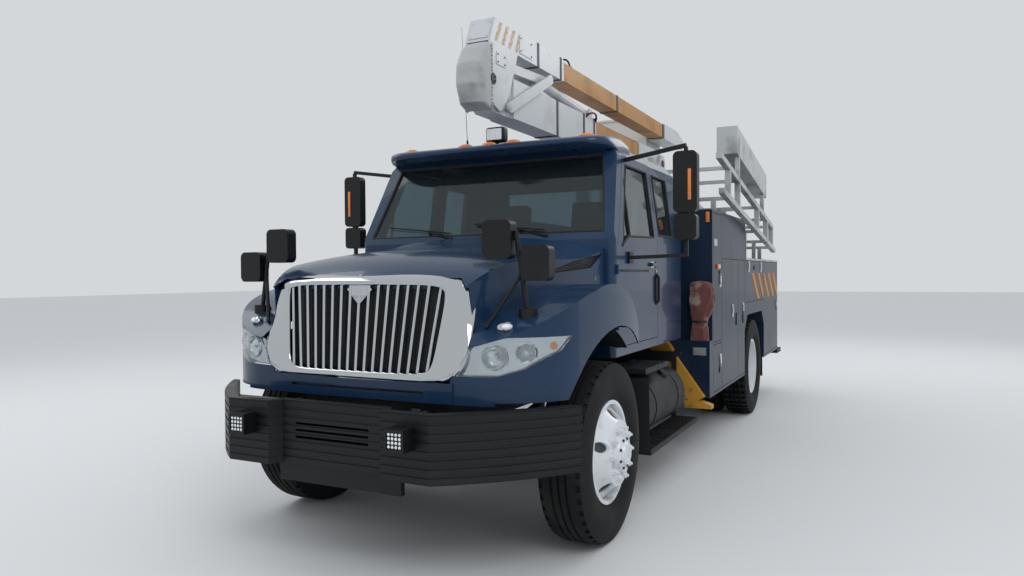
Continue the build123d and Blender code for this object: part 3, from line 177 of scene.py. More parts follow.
chassis_paint = finish("black_chassis_paint", "#17191C", 0.55, Specular_IOR_Level=0.35)
blotches(chassis_paint, "#37302A", 150, 0.55, 0.75, rough=0.85)
print("paints", len(bpy.data.materials))

# %% [markdown]
# Bright trim is chrome-plated plastic or steel, a mirror with hardly any blur. Rails are mill-finish
# aluminium, duller and with faint streaks. Cylinder rods are hard-chromed and ground steel.

# %% Metals
chrome_plate = finish("chrome_plate", "#C4C7CA", 0.05, Metallic=1.0)
mill_aluminium = finish("mill_finish_aluminium", "#C4C7C8", 0.38, Metallic=0.85)
blotches(mill_aluminium, "#8F9294", 200, 0.5, 0.7, rough=0.5)
rod_chrome = finish("ground_chromed_steel", "#C9CCCE", 0.18, Metallic=1.0)
rough_cast_iron = pebbled(finish("rough_cast_iron", "#2E2D2C", 0.75, Metallic=0.3), 6, 0.8)
blotches(rough_cast_iron, "#573A28", 80, 0.55, 0.72, rough=0.9)
dark_steel = finish("dark_steel", "#3A3B3D", 0.45, Metallic=0.7)
print("paints and metals", len(bpy.data.materials))

# %% [markdown]
# Bumper, mirrors and wiper arms are black moulded plastic with a fine grain, tyres are carbon-black rubber
# that dust turns grey, and the boom's middle lengths are glass-fibre tube, amber under a gelcoat.

# %% Plastics and rubber
black_moulding = pebbled(finish("black_moulded_plastic", "#0C0E10", 0.42, Specular_IOR_Level=0.35), 5, 0.15)
blotches(black_moulding, "#191B1E", 300, 0.5, 0.75, rough=0.6)
tyre_rubber = finish("tyre_rubber", "#131416", 0.8, Specular_IOR_Level=0.3)
blotches(tyre_rubber, "#2B2A28", 140, 0.5, 0.75, rough=0.92)
fibreglass = finish("amber_boom_fibreglass", "#B27A20", 0.45, Specular_IOR_Level=0.3, Coat_Weight=0.15,
                    Coat_Roughness=0.25)
blotches(fibreglass, "#97691F", 260, 0.5, 0.75, rough=0.6)
bucket_gelcoat = finish("bucket_gelcoat", "#C9C9C2", 0.4, Coat_Weight=0.3, Coat_Roughness=0.2)
cab_plastic = pebbled(finish("cab_trim_plastic", "#3B3D40", 0.6), 4, 0.2)
hose_rubber = finish("hose_rubber", "#1A1A1B", 0.5)
red_hose = finish("red_hose", "#7A2420", 0.45)
orange_film = finish("orange_reflective_film", "#DB8A12", 0.5, Specular_IOR_Level=0.15)
seal_rubber = finish("window_seal_rubber", "#121314", 0.6)
amber_lens = finish("amber_lamp_lens", "#E07A1C", 0.15, Coat_Weight=1.0, Coat_Roughness=0.05)
red_lens = finish("red_lamp_lens", "#8E1512", 0.15, Coat_Weight=1.0, Coat_Roughness=0.05)
lamp_glass = finish("lamp_glass", "#E9EEF0", 0.08, Coat_Weight=1.0, Coat_Roughness=0.03)
tinted_glass = finish("tinted_window_glass", "#7F949C", 0.03, Transmission_Weight=0.96, IOR=1.45)
clear_lens = finish("clear_lamp_lens", "#F2F6F8", 0.04, Transmission_Weight=0.95, IOR=1.45)
print("with plastics, rubber and glass", len(bpy.data.materials))

# %% [markdown]
# The covers are coated cloth: a woven polyester under soft PVC. It is nearly matt, with a weak sheen, and
# weather bleaches it in patches.

# %% Covers
red_vinyl = pebbled(finish("weathered_red_vinyl", "#643934", 0.7, Sheen_Weight=0.2), 3, 0.3)
blotches(red_vinyl, "#96807A", 150, 0.53, 0.62, rough=0.85)
white_vinyl = pebbled(finish("weathered_white_vinyl", "#A9ACAE", 0.6, Sheen_Weight=0.1), 3, 0.3)
blotches(white_vinyl, "#8F908E", 120, 0.55, 0.8, rough=0.8)
print("with the covers' cloth", len(bpy.data.materials))

# %% [markdown]
# The CAD solids are painted by node. Each keeps its own mesh, so only its material slot changes.

# %% Paint the solids
PAINT = {
    blue_enamel: ["cab_shell", "hood_shell", "door_left", "door_right"],
    body_enamel: ["body_compartments", "body_deck"] + [n for n in nodes if n.startswith("body_door_")],
    chrome_plate: ["grille"],
    black_moulding: ["bumper", "mirror_left", "mirror_right", "fender_mirrors"],
    wheel_enamel: [n for n in nodes if n.startswith(("rim_", "rims_"))],
    tyre_rubber: [n for n in nodes if n.startswith(("tyre_", "tyres_"))],
    tinted_glass: ["cab_glass", "door_glass_left", "door_glass_right"],
    boom_enamel: ["pedestal", "turret", "lower_boom_steel", "upper_boom_steel", "lift_barrel", "elbow_barrel",
                  "rocker", "link"],
    fibreglass: ["lower_boom_insert", "upper_boom_insert"],
    yellow_enamel: ["outrigger_housing", "outrigger_left", "outrigger_right"],
    mill_aluminium: ["ladder_rack"],
    chassis_paint: ["frame_rails", "tanks_and_steps"],
    rough_cast_iron: ["running_gear", "knuckle_left", "knuckle_right"],
    rod_chrome: ["lift_rod", "elbow_rod"],
    bucket_gelcoat: ["bucket"],
    cab_plastic: ["cab_interior"],
    red_vinyl: ["control_cover"],
    white_vinyl: ["elbow_cover"],
    clear_lens: ["headlamps"],
    amber_lens: ["lamps"],
}
for material, names in PAINT.items():
    for name in names:
        for slot in nodes[name].material_slots:
            slot.material = material
print("unpainted", sorted(set(nodes) - {n for names in PAINT.values() for n in names}))

# %% [markdown]
# New pieces are made from a few shapes: a block between two corners, a round bar between two points, a
# flattened dome, and a flat outline that is pushed to a thickness. Most pieces come in a left and a right one,
# so a pair of signs and names is kept for the loops.

# %% Shape helpers
SIDES = ((1, "left"), (-1, "right"))


def block(bm, low, high):
    """A box between two corners."""
    low, high = Vector(map(min, low, high)), Vector(map(max, low, high))
    size = Matrix.Diagonal(high - low).to_4x4()
    return bmesh.ops.create_cube(bm, size=1.0, matrix=Matrix.Translation((low + high) / 2) @ size)["verts"]


def bar(bm, start, end, radius, sides=12, end_radius=None):
    """A round bar, or a cone, from one point to another."""
    way = end - start
    turn = way.to_track_quat("Z", "Y").to_matrix().to_4x4()
    return bmesh.ops.create_cone(
        bm, cap_ends=True, segments=sides, radius1=radius, radius2=radius if end_radius is None else end_radius,
        depth=way.length, matrix=Matrix.Translation((start + end) / 2) @ turn)["verts"]


def dome(bm, at, size, turn=Matrix(), around=28, rows=16):
    """A flattened ball with the half sizes given."""
    shape = Matrix.Translation(at) @ turn @ Matrix.Diagonal(Vector(size)).to_4x4()
    bmesh.ops.create_uvsphere(bm, u_segments=around, v_segments=rows, radius=1.0, matrix=shape)


def pushed(bm, made, way):
    """Moves the new points of an extrusion, and gives all that it made."""
    bmesh.ops.translate(bm, vec=way, verts=[part for part in made["geom"] if isinstance(part, bmesh.types.BMVert)])
    return made["geom"]


def round_edges(bm, width, segments=2):
    """Rounds every edge a little."""
    bmesh.ops.bevel(bm, geom=bm.edges[:], offset=width, offset_type="OFFSET", segments=segments, profile=0.5,
                    affect="EDGES", clamp_overlap=True, material=-1)


print("sides", SIDES)

# %% [markdown]
# A bevel shuffles the order of what is already in a mesh, and a flat cap made after it would then be cut into
# other triangles on each run. So a block with rounded edges is made in a mesh of its own and added.

# %% Rounded blocks


def join(bm, part):
    """Adds one bmesh to another."""
    mesh = bpy.data.meshes.new("joined")
    part.to_mesh(mesh)
    part.free()
    bm.from_mesh(mesh)
    bpy.data.meshes.remove(mesh)


def rounded_block(bm, low, high, width, segments=2):
    """A box between two corners with rounded edges."""
    part = bmesh.new()
    block(part, low, high)
    round_edges(part, width, segments)
    print("a rounded block's faces", len(part.faces))
    join(bm, part)

# %% [markdown]
# A finished bmesh becomes an object: its faces are turned outwards, and it is shaded smooth but for its sharp
# edges. It rides on a CAD body and is given its material. Each piece prints its name.

# %% From a bmesh to a piece
SHARP_ANGLE = math.radians(35)


def piece(name, bm, body, material, smooth=True):
    """Turns a bmesh into an object that rides on a body."""
    bmesh.ops.recalc_face_normals(bm, faces=bm.faces[:])
    mesh = bpy.data.meshes.new(name)
    bm.to_mesh(mesh)
    bm.free()
    thing = bpy.data.objects.new(name, mesh)
    bpy.context.scene.collection.objects.link(thing)
    mesh.materials.append(material)
    if smooth:
        mesh.shade_smooth()
        mesh.set_sharp_from_angle(angle=SHARP_ANGLE)
    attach(thing, body)
    print(name, len(mesh.polygons), "faces")
    return thing


def plate(name, body, material, low, high, rounding, segments=2):
    """A piece that is one block with rounded edges."""
    bm = bmesh.new()
    rounded_block(bm, low, high, rounding, segments)
    return piece(name, bm, body, material)


# %% [markdown]
# A truck tyre's look is in its tread: ribs between deep grooves, and notches along the shoulders. The
# profile below is half the section; it is mirrored, spun round the axle, and every second shoulder face
# is pushed in. The plain CAD tyre stays for collision.

# %% Tread
TREAD_R = (tyre_high.z - tyre_low.z) / 2
TYRE_HALF = (tyre_high.x - tyre_low.x) / 2
GROOVE = 0.013
# columns: share of the half width, radius
TYRE_PROFILE = [
    (0.00, TREAD_R - GROOVE), (0.035, TREAD_R - GROOVE), (0.05, TREAD_R), (0.25, TREAD_R), (0.27, TREAD_R - GROOVE),
    (0.34, TREAD_R - GROOVE), (0.36, TREAD_R - 0.001), (0.66, TREAD_R - 0.002), (0.70, TREAD_R - 0.003),
    (0.86, TREAD_R - 0.012), (0.93, 0.487), (0.955, 0.455), (0.985, 0.44), (1.0, 0.40), (0.985, 0.37), (0.93, 0.345),
    (0.90, 0.338), (0.83, 0.318), (0.76, 0.303), (0.74, 0.288),
]
SPOKES = 88


def tyre_mesh(bm, middle):
    """One tyre, spun round the axle."""
    ring = [(share * TYRE_HALF, radius) for share, radius in TYRE_PROFILE]
    outline = [(-x, r) for x, r in reversed(ring)] + ring[1:]
    verts = [bm.verts.new((middle.x + x, middle.y, middle.z + r)) for x, r in outline]
    edges = [bm.edges.new(pair) for pair in zip(verts, verts[1:] + verts[:1])]
    bmesh.ops.spin(bm, geom=verts + edges, cent=middle, axis=(1, 0, 0), angle=math.tau, steps=SPOKES, use_merge=True,
                   use_duplicate=False)


def notch_shoulders(bm, middle):
    """Pushes every second face of each shoulder towards the axle."""
    notches = []
    for face in bm.faces:
        at = face.calc_center_median() - middle
        radius = math.hypot(at.y, at.z)
        index = int((math.atan2(at.z, at.y) / math.tau + 1) * SPOKES)
        if radius > TREAD_R - 0.011 and abs(at.x) > 0.7 * TYRE_HALF and index % 2 == 0:
            notches.append(face)
    for face in bmesh.ops.extrude_discrete_faces(bm, faces=notches)["faces"]:
        inward = -(face.calc_center_median() - middle)
        inward.x = 0
        bmesh.ops.translate(bm, verts=face.verts[:], vec=inward.normalized() * GROOVE)


print("tyre radius", round(TREAD_R, 4), "width", round(2 * TYRE_HALF, 4))

# %% [markdown]
# A front wheel has one tyre. A rear hub carries two, side by side, so there the same tyre is made twice, at
# the two ends of the CAD solid's width.

# %% Tyres
for node, body in (("tyre_front", "front_wheel"), ("tyres_rear", "rear_wheels")):
    for _, name in SIDES:
        low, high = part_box(f"{node}_{name}")
        offset = (high.x - low.x) / 2 - TYRE_HALF
        middles = [(low + high) / 2 + Vector((x, 0, 0)) for x in ((0,) if node == "tyre_front" else (-offset, offset))]
        tread = bmesh.new()
        for middle in middles:
            tyre_mesh(tread, middle)
        for middle in middles:
            notch_shoulders(tread, middle)
        tyre = piece(f"tread_{node}_{name}", tread, f"{body}_{name}", tyre_rubber)
        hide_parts(f"{node}_{name}")

# %% [markdown]
# Ten nuts on a circle hold each wheel. Each is a hexagon on a washer, with the stud's end standing out,
# and the hub has its own ring of small bolts and a valve stem beside it.

# %% Wheel nuts and hub bolts
NUTS = 10
NUT_CIRCLE = 0.146
# columns: rim node, body, side, the disc's outer face, the hub's outer face
WHEELS = [
    ("rim_front_left", "front_wheel_left", 1, 1.185, 1.221),
    ("rim_front_right", "front_wheel_right", -1, 1.185, 1.221),
    ("rims_rear_left", "rear_wheels_left", 1, 0.901, 1.099),
    ("rims_rear_right", "rear_wheels_right", -1, 0.901, 1.099),
]


def ring_of_bolts(bm, centre, side, x, circle, count, across, tall, stud):
    """Bolt heads on washers round the centre, each with its stud's end if stud isn't 0."""
    out = Vector((side, 0, 0))
    for k in range(count):
        arm = Matrix.Rotation(math.tau * (k + 0.5) / count, 3, "X") @ Vector((0, 0, circle))
        foot = Vector((side * x, centre.y, centre.z)) + arm
        bar(bm, foot - out * 0.002, foot + out * 0.003, across * 0.75, 16)
        bar(bm, foot + out * 0.003, foot + out * tall, across * 0.58, 6, across * 0.54)
        if stud:
            bar(bm, foot + out * tall, foot + out * (tall + stud), across * 0.3, 10, across * 0.26)


for rim, body, side, disc, hub in WHEELS:
    low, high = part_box(rim)
    centre = (low + high) / 2
    bolts = bmesh.new()
    ring_of_bolts(bolts, centre, side, disc, NUT_CIRCLE, NUTS, 0.033, 0.026, 0.012)
    piece(f"nuts_{rim}", bolts, body, wheel_enamel)
    flange = bmesh.new()
    ring_of_bolts(flange, centre, side, hub - 0.006, 0.084 if "front" in rim else 0.09, 8, 0.014, 0.011, 0)
    piece(f"hub_bolts_{rim}", flange, body, dark_steel)
    valve = bmesh.new()
    foot = Vector((side * (disc - 0.03), centre.y + 0.228, centre.z + 0.03))
    bar(valve, foot, foot + Vector((side * 0.06, 0.012, 0)), 0.0045, 10)
    bar(valve, foot + Vector((side * 0.058, 0.0115, 0)), foot + Vector((side * 0.072, 0.014, 0)), 0.006, 10)
    piece(f"valve_{rim}", valve, body, hose_rubber)
print("nuts", NUTS * len(WHEELS))

# %% [markdown]
# The nose is bowed: flat across its middle and swept back at its sides. The same few points that shape it
# in the CAD model give its depth at any x, and it leans back with height.

# %% The bowed nose
# columns: sideways, behind the foremost point
NOSE_PLAN = [(0, 0), (0.300, 0.005), (0.470, 0.016), (0.570, 0.062), (0.645, 0.140), (0.715, 0.245)]
NOSE_FOOT = (-0.925, 0.990)
NOSE_TOP = (-0.868, 1.560)


def nose(x, z, back=0.0):
    """A point on the nose's face, or back metres behind it."""
    for (x0, d0), (x1, d1) in zip(NOSE_PLAN, NOSE_PLAN[1:]):
        if abs(x) <= x1:
            sweep = d0 + (d1 - d0) * (abs(x) - x0) / (x1 - x0)
            break
    lean = (NOSE_TOP[0] - NOSE_FOOT[0]) * (z - NOSE_FOOT[1]) / (NOSE_TOP[1] - NOSE_FOOT[1])
    return place(x, NOSE_FOOT[0] + lean + sweep + back, z)


print("the nose at bumper height", [round(v, 3) for v in nose(0, NOSE_FOOT[1])])

# %% [markdown]
# The grille's frame is one wide, rounded pressing of chromed plastic. It is made from five loops of points,
# from the opening's wall over the crest to a skirt that tucks in behind the hood's face. They are bridged
# into a band and smoothed by a subdivision surface.

# %% Grille frame
# columns: sideways and height of the opening's edge, half of it from the middle of the foot
OPENING = [(0, 1.050), (0.15, 1.050), (0.30, 1.050), (0.44, 1.053), (0.476, 1.080), (0.490, 1.16), (0.504, 1.26),
           (0.518, 1.36), (0.530, 1.465), (0.512, 1.502), (0.34, 1.508), (0.17, 1.508), (0, 1.508)]
# the same for the crest, and for the outer edge, which has its own depth
CREST = [(0, 1.026), (0.15, 1.026), (0.30, 1.026), (0.462, 1.028), (0.515, 1.062), (0.532, 1.16), (0.545, 1.26),
         (0.558, 1.36), (0.568, 1.478), (0.538, 1.530), (0.34, 1.535), (0.17, 1.535), (0, 1.535)]
OUTER = [(0, 1.000, -0.930), (0.15, 1.000, -0.929), (0.30, 1.000, -0.928), (0.50, 1.001, -0.918),
         (0.640, 1.030, -0.907), (0.700, 1.165, -0.897), (0.686, 1.240, -0.856), (0.670, 1.330, -0.812),
         (0.664, 1.480, -0.806), (0.620, 1.546, -0.790), (0.34, 1.560, -0.836), (0.17, 1.560, -0.842),
         (0, 1.560, -0.844)]


def both_sides(half):
    """The half loop with its mirror image, as one closed run."""
    return half + [Vector((-spot.x, spot.y, spot.z)) for spot in reversed(half[1:-1])]


def skirt(x, z, y):
    """The outer edge taken back and a little outwards, but not into the fender beside the headlamp."""
    wider = 0.995 if 1.1 < z < 1.3 else 1.022
    return place(x * wider, y + 0.034, z + (-0.010 if z < 1.1 else 0.010))


loops = [both_sides(half) for half in (
    [nose(x, z, 0.010) for x, z in OPENING], [nose(x, z, -0.010) for x, z in OPENING],
    [nose(x, z, -0.020) for x, z in CREST], [place(x, y, z) for x, z, y in OUTER], [skirt(*row) for row in OUTER])]
frame_bm = bmesh.new()
rings = []
for loop in loops:
    verts = [frame_bm.verts.new(spot) for spot in loop]
    rings.append([frame_bm.edges.new(pair) for pair in zip(verts, verts[1:] + verts[:1])])
for near, far in zip(rings, rings[1:]):
    bmesh.ops.bridge_loops(frame_bm, edges=near + far)
bmesh.ops.recalc_face_normals(frame_bm, faces=frame_bm.faces[:])
grille_frame = piece("grille_frame", frame_bm, "hood", chrome_plate)
wall = grille_frame.modifiers.new("wall", "SOLIDIFY")
wall.thickness = 0.003
rounding = grille_frame.modifiers.new("rounding", "SUBSURF")
rounding.levels = rounding.render_levels = 2
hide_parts("grille")
print("grille frame's loops", len(loops), "of", len(loops[0]), "points")

# %% [markdown]
# Seventeen chromed bars stand in the opening, each a round rod. They fan out a little towards the top, where
# the opening is wider.

# %% Grille bars
BARS = 17
bars = bmesh.new()
for k in range(BARS):
    share = (k + 0.5) / BARS * 2 - 1
    bar(bars, nose(share * 0.474, 1.040, 0.010), nose(share * 0.536, 1.514, 0.010), 0.0095, 14)
piece("grille_bars", bars, "hood", chrome_plate)

# %% [markdown]
# Below the grille the hood closes with a blue valance, a painted panel with an air slot in it. Its foot is
# a run of edges that follows the bumper, extruded upwards three times, and the middle band's faces are
# inset and pushed back to a recess, which a black strip closes.

# %% Front valance
VALANCE_PLAN = [(0, -0.922), (0.15, -0.921), (0.30, -0.920), (0.45, -0.915), (0.61, -0.9025)]
SLOT_HALF = 0.47
valance = bmesh.new()
half = [place(x, y, 0.903) for x, y in VALANCE_PLAN]
foot = [Vector((-spot.x, spot.y, spot.z)) for spot in reversed(half[1:])] + half
verts = [valance.verts.new(spot) for spot in foot]
run = [valance.edges.new(pair) for pair in zip(verts, verts[1:])]
for rise in (0.040, 0.026, 0.040):
    made = pushed(valance, bmesh.ops.extrude_edge_only(valance, edges=run), (0, -0.0015, rise))
    run = [e for e in made if isinstance(e, bmesh.types.BMEdge) and abs(e.verts[0].co.z - e.verts[1].co.z) < 1e-6]
slot_faces = [face for face in valance.faces if 0.94 < face.calc_center_median().z < 0.97
              and abs(face.calc_center_median().x) < SLOT_HALF]
bmesh.ops.inset_region(valance, faces=slot_faces, thickness=0.004, depth=0)
pushed(valance, bmesh.ops.extrude_face_region(valance, geom=slot_faces), (0, 0.030, 0))
bmesh.ops.delete(valance, geom=slot_faces, context="FACES")
bmesh.ops.solidify(valance, geom=valance.faces[:], thickness=0.003)
piece("front_valance", valance, "hood", blue_enamel, smooth=False)
slot_back = bmesh.new()
block(slot_back, place(-SLOT_HALF + 0.03, -0.900, 0.945), place(SLOT_HALF - 0.03, -0.8935, 0.967))
piece("valance_slot", slot_back, "hood", black_moulding)

# %% [markdown]
# Behind the bright bars lies a black mesh, which keeps leaves off the radiator. It is a grid, and each of
# its faces is pushed inwards from its edges, so that it reads as a net of square openings.

# %% Grille mesh
mesh_bm = bmesh.new()
bmesh.ops.create_grid(mesh_bm, x_segments=48, y_segments=20, size=0.5)
for vert in mesh_bm.verts:
    share = vert.co.y + 0.5
    vert.co = nose(vert.co.x * 2 * (0.485 + 0.06 * share), 1.035 + 0.485 * share, 0.033)
bmesh.ops.inset_individual(mesh_bm, faces=mesh_bm.faces[:], thickness=0.0028, depth=0.005, use_even_offset=True)
bmesh.ops.solidify(mesh_bm, geom=mesh_bm.faces[:], thickness=0.003)
piece("grille_mesh", mesh_bm, "hood", black_moulding, smooth=False)

# %% [markdown]
# The badge in the middle is left blank: a small diamond boss with a raised edge and nothing on it.

# %% Blank badge
badge = bmesh.new()
bmesh.ops.create_circle(badge, cap_ends=True, segments=4, radius=0.084)
for vert in badge.verts:
    vert.co = Vector((vert.co.x, 0, vert.co.y * 1.02))
bmesh.ops.inset_region(badge, faces=badge.faces[:], thickness=0.011, depth=-0.004)
bmesh.ops.solidify(badge, geom=badge.faces[:], thickness=0.014)
round_edges(badge, 0.0015)
lean = math.atan2(NOSE_TOP[0] - NOSE_FOOT[0], NOSE_TOP[1] - NOSE_FOOT[1])
tilt = Matrix.Rotation(-lean, 4, "X")
bmesh.ops.transform(badge, matrix=Matrix.Translation(nose(0, 1.49, 0.006)) @ tilt, verts=badge.verts)
piece("blank_badge", badge, "hood", chrome_plate)

# %% [markdown]
# A headlamp has two silvered bowls, a large one for the low beam and a smaller one beside it. A bowl is a
# quarter wave of points, spun round its axis, turned to look forwards and given a thin wall.

# %% Headlamp bowls
silver = finish("lamp_reflector_silver", "#DDE1E3", 0.15, Metallic=1.0)
bezel_silver = finish("lamp_bezel_silver", "#D2D6D8", 0.22, Metallic=1.0)


def bowl(bm, at, way, radius, depth):
    """A silvered bowl whose mouth looks along way."""
    steps = 7
    profile = [(radius * math.sin(math.pi / 2 * k / steps), depth * (1 - math.cos(math.pi / 2 * k / steps)))
               for k in range(steps + 1)]
    part = bmesh.new()
    verts = [part.verts.new((r, 0, h - depth)) for r, h in profile]
    edges = [part.edges.new(pair) for pair in zip(verts, verts[1:])]
    bmesh.ops.spin(part, geom=verts + edges, cent=(0, 0, 0), axis=(0, 0, 1), angle=math.tau, steps=32,
                   use_merge=True, use_duplicate=False)
    bmesh.ops.remove_doubles(part, verts=part.verts[:], dist=1e-5)
    turn = way.to_track_quat("Z", "Y").to_matrix().to_4x4()
    bmesh.ops.transform(part, matrix=Matrix.Translation(at) @ turn, verts=part.verts[:])
    bmesh.ops.solidify(part, geom=part.faces[:], thickness=0.003)
    join(bm, part)


# columns: sideways, y and height of the mouth, radius, depth
LAMP_BOWLS = [(0.815, -0.838, 1.143, 0.066, 0.05), (0.955, -0.760, 1.166, 0.048, 0.036)]
print("bowls' radii", [row[3] for row in LAMP_BOWLS])

# %% [markdown]
# The CAD lens is a solid block, so its front faces are copied twice: once as a thin clear cover, and once
# further back as a silver bezel with a hole for each bowl. Bulbs and an amber turn lamp stand between them.

# %% Headlamps


def lamp_face(side, back):
    """The front faces of one CAD lens, pushed back by a depth."""
    face_bm = bmesh.new()
    face_bm.from_mesh(nodes["headlamps"].data)
    bmesh.ops.remove_doubles(face_bm, verts=face_bm.verts[:], dist=1e-5)
    face_bm.normal_update()
    drop = [f for f in face_bm.faces if f.calc_center_median().x * side < 0 or f.normal.y > -0.25
            or abs(f.normal.z) > 0.6]
    bmesh.ops.delete(face_bm, geom=drop, context="FACES")
    for vert in face_bm.verts:
        vert.co.y += back
    return face_bm


for side, name in SIDES:
    lens_bm = lamp_face(side, 0.001)
    bmesh.ops.solidify(lens_bm, geom=lens_bm.faces[:], thickness=0.0022)
    piece(f"headlamp_lens_{name}", lens_bm, "hood", clear_lens)
    back_bm = lamp_face(side, 0.034)
    bmesh.ops.subdivide_edges(back_bm, edges=back_bm.edges[:], cuts=7, use_grid_fill=True)
    spots = [(face, face.calc_center_median()) for face in back_bm.faces]
    holes = [face for face, at in spots
             if any(math.hypot(at.x - side * x, at.z - z) < radius * 0.97 for x, _, z, radius, _ in LAMP_BOWLS)]
    bmesh.ops.delete(back_bm, geom=holes, context="FACES")
    bmesh.ops.solidify(back_bm, geom=back_bm.faces[:], thickness=0.002)
    piece(f"headlamp_bezel_{name}", back_bm, "hood", bezel_silver)
    lamp, bulb = bmesh.new(), bmesh.new()
    for x, y, z, radius, depth in LAMP_BOWLS:
        way = Vector((side * 0.30, -1, 0)).normalized()
        at = place(side * x, y, z)
        bowl(lamp, at + way * 0.004, way, radius, depth)
        bar(bulb, at - way * 0.035, at - way * 0.004, 0.011, 14, 0.008)
    piece(f"headlamp_bowls_{name}", lamp, "hood", silver)
    piece(f"headlamp_bulbs_{name}", bulb, "hood", lamp_glass)
    turn_lamp = bmesh.new()
    bar(turn_lamp, place(side * 1.040, -0.620, 1.195), place(side * 1.062, -0.655, 1.198), 0.024, 20, 0.020)
    piece(f"turn_bulb_{name}", turn_lamp, "hood", amber_lens)
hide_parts("headlamps")

# %% [markdown]
# Two small lamps sit on each fender: a chromed turn lamp beside the mirror's foot, and an amber marker
# where the crest runs out. Both are flattened domes. A blank plate sits on the hood's side behind them.

# %% Fender lamps
for side, name in SIDES:
    yaw = Matrix.Rotation(side * math.radians(48), 4, "Z")
    foot = bmesh.new()
    dome(foot, place(side * 0.845, -0.765, 1.292), (0.050, 0.028, 0.030), yaw)
    piece(f"turn_lamp_{name}", foot, "hood", chrome_plate)
    lens_bm = bmesh.new()
    dome(lens_bm, place(side * 0.860, -0.785, 1.296), (0.030, 0.022, 0.019), yaw)
    piece(f"turn_lens_{name}", lens_bm, "hood", lamp_glass)
    rear_mark = bmesh.new()
    dome(rear_mark, place(side * 1.160, 0.235, 1.325), (0.012, 0.040, 0.020))
    piece(f"fender_marker_{name}", rear_mark, "hood", amber_lens)
    plate(f"side_plate_{name}", "hood", chrome_plate, place(side * 0.9160, 0.330, 1.520),
          place(side * 0.9200, 0.395, 1.545), 0.0015)

# %% [markdown]
# The hood's sides have an air vent each: a dark pocket behind slanting louvres. The louvres are thin slats,
# longer towards the top, that follow the opening's edges.

# %% Hood vents
SLATS = 6


def vent_skin(y, z):
    """How far out the hood's side is at the vent."""
    upright = 0.873 + 0.14 * y if y > 0 else 0.873 + 0.17 * y
    return upright - max(0.0, z - (1.645 + 0.05 * (y > 0.1))) * 1.5


for side, name in SIDES:
    slats = bmesh.new()
    for k in range(SLATS):
        share = (k + 0.5) / SLATS
        ends = [(-0.29 + 0.35 * share, 1.56 + 0.08 * share), (0.27 + 0.15 * share, 1.60 + 0.09 * share)]
        spots = [place(side * (vent_skin(y, z) - 0.012), y, z) for y, z in ends]
        bar(slats, *spots, 0.0065, 8)
    piece(f"vent_louvres_{name}", slats, "hood", black_moulding)
    pocket = bmesh.new()
    ring = [(-0.275, 1.562), (0.055, 1.632), (0.415, 1.682), (0.268, 1.603)]
    face = pocket.faces.new([pocket.verts.new(place(side * (vent_skin(y, 1.6) - 0.035), y, z)) for y, z in ring])
    bmesh.ops.triangulate(pocket, faces=[face])
    bmesh.ops.solidify(pocket, geom=pocket.faces[:], thickness=0.003)
    piece(f"vent_pocket_{name}", pocket, "hood", black_moulding, smooth=False)

# %% [markdown]
# Two wipers rest low on the windscreen. An arm is a thin bar that narrows towards its blade, and the blade
# is a rubber strip under a light frame.

# %% Wipers
GLASS_FOOT = (0.462, 1.80)
GLASS_TOP = (0.755, 2.40)


def on_glass(x, share, off):
    """A point over the windscreen: share 0 at its foot, 1 at its top."""
    y = GLASS_FOOT[0] + (GLASS_TOP[0] - GLASS_FOOT[0]) * share
    z = GLASS_FOOT[1] + (GLASS_TOP[1] - GLASS_FOOT[1]) * share
    return place(x, y - off, z)


wipers = bmesh.new()
blades = bmesh.new()
for pivot, tip_x in ((0.52, -0.05), (-0.22, -0.78)):
    root = on_glass(pivot, 0.03, 0.012)
    tip = on_glass((pivot + tip_x) / 2 + 0.02, 0.15, 0.026)
    bar(wipers, on_glass(pivot, 0.03, -0.02), root, 0.014, 14)
    bar(wipers, root, tip, 0.007, 8, 0.004)
    start, end = on_glass(pivot - 0.02, 0.10, 0.016), on_glass(tip_x, 0.20, 0.016)
    bar(wipers, start, end, 0.005, 6)
    bar(blades, start + Vector((0, 0.007, 0)), end + Vector((0, 0.007, 0)), 0.0035, 4)
piece("wiper_arms", wipers, "chassis", black_moulding)
piece("wiper_blades", blades, "chassis", seal_rubber)

# %% [markdown]
# The windscreen and side glasses sit in black rubber. A seal is a thin closed strip that follows the
# glass's outline, so one function runs a small bar along a ring of points. The door also has its catch, its
# pull and a rubbing strip.

# %% Window seals and door fittings


def along(bm, points, radius, sides=6, closed=True):
    """Thin bars from point to point."""
    ends = zip(points, points[1:] + points[:1]) if closed else zip(points, points[1:])
    for start, end in ends:
        reach = (end - start).normalized() * radius * 0.5
        bar(bm, start - reach, end + reach, radius, sides)


seal = bmesh.new()
# columns: sideways, share of the way up the glass
SCREEN_CORNERS = [(0.925, 0.06), (0.825, 0.96), (-0.825, 0.96), (-0.925, 0.06)]
along(seal, [on_glass(x, share, -0.004) for x, share in SCREEN_CORNERS], 0.011)
piece("windscreen_seal", seal, "chassis", seal_rubber)
BELT_Z, ROOF_Z, LEAN_IN = 1.79, 2.375, 0.075


def cab_side(y, z, side, off=0.0):
    """A point over the cab's side at y and z: upright to the belt, leaning in over it."""
    x = 1.0 - LEAN_IN * max(0.0, z - BELT_Z) / (ROOF_Z - BELT_Z)
    return place(side * (x + off), y, z)


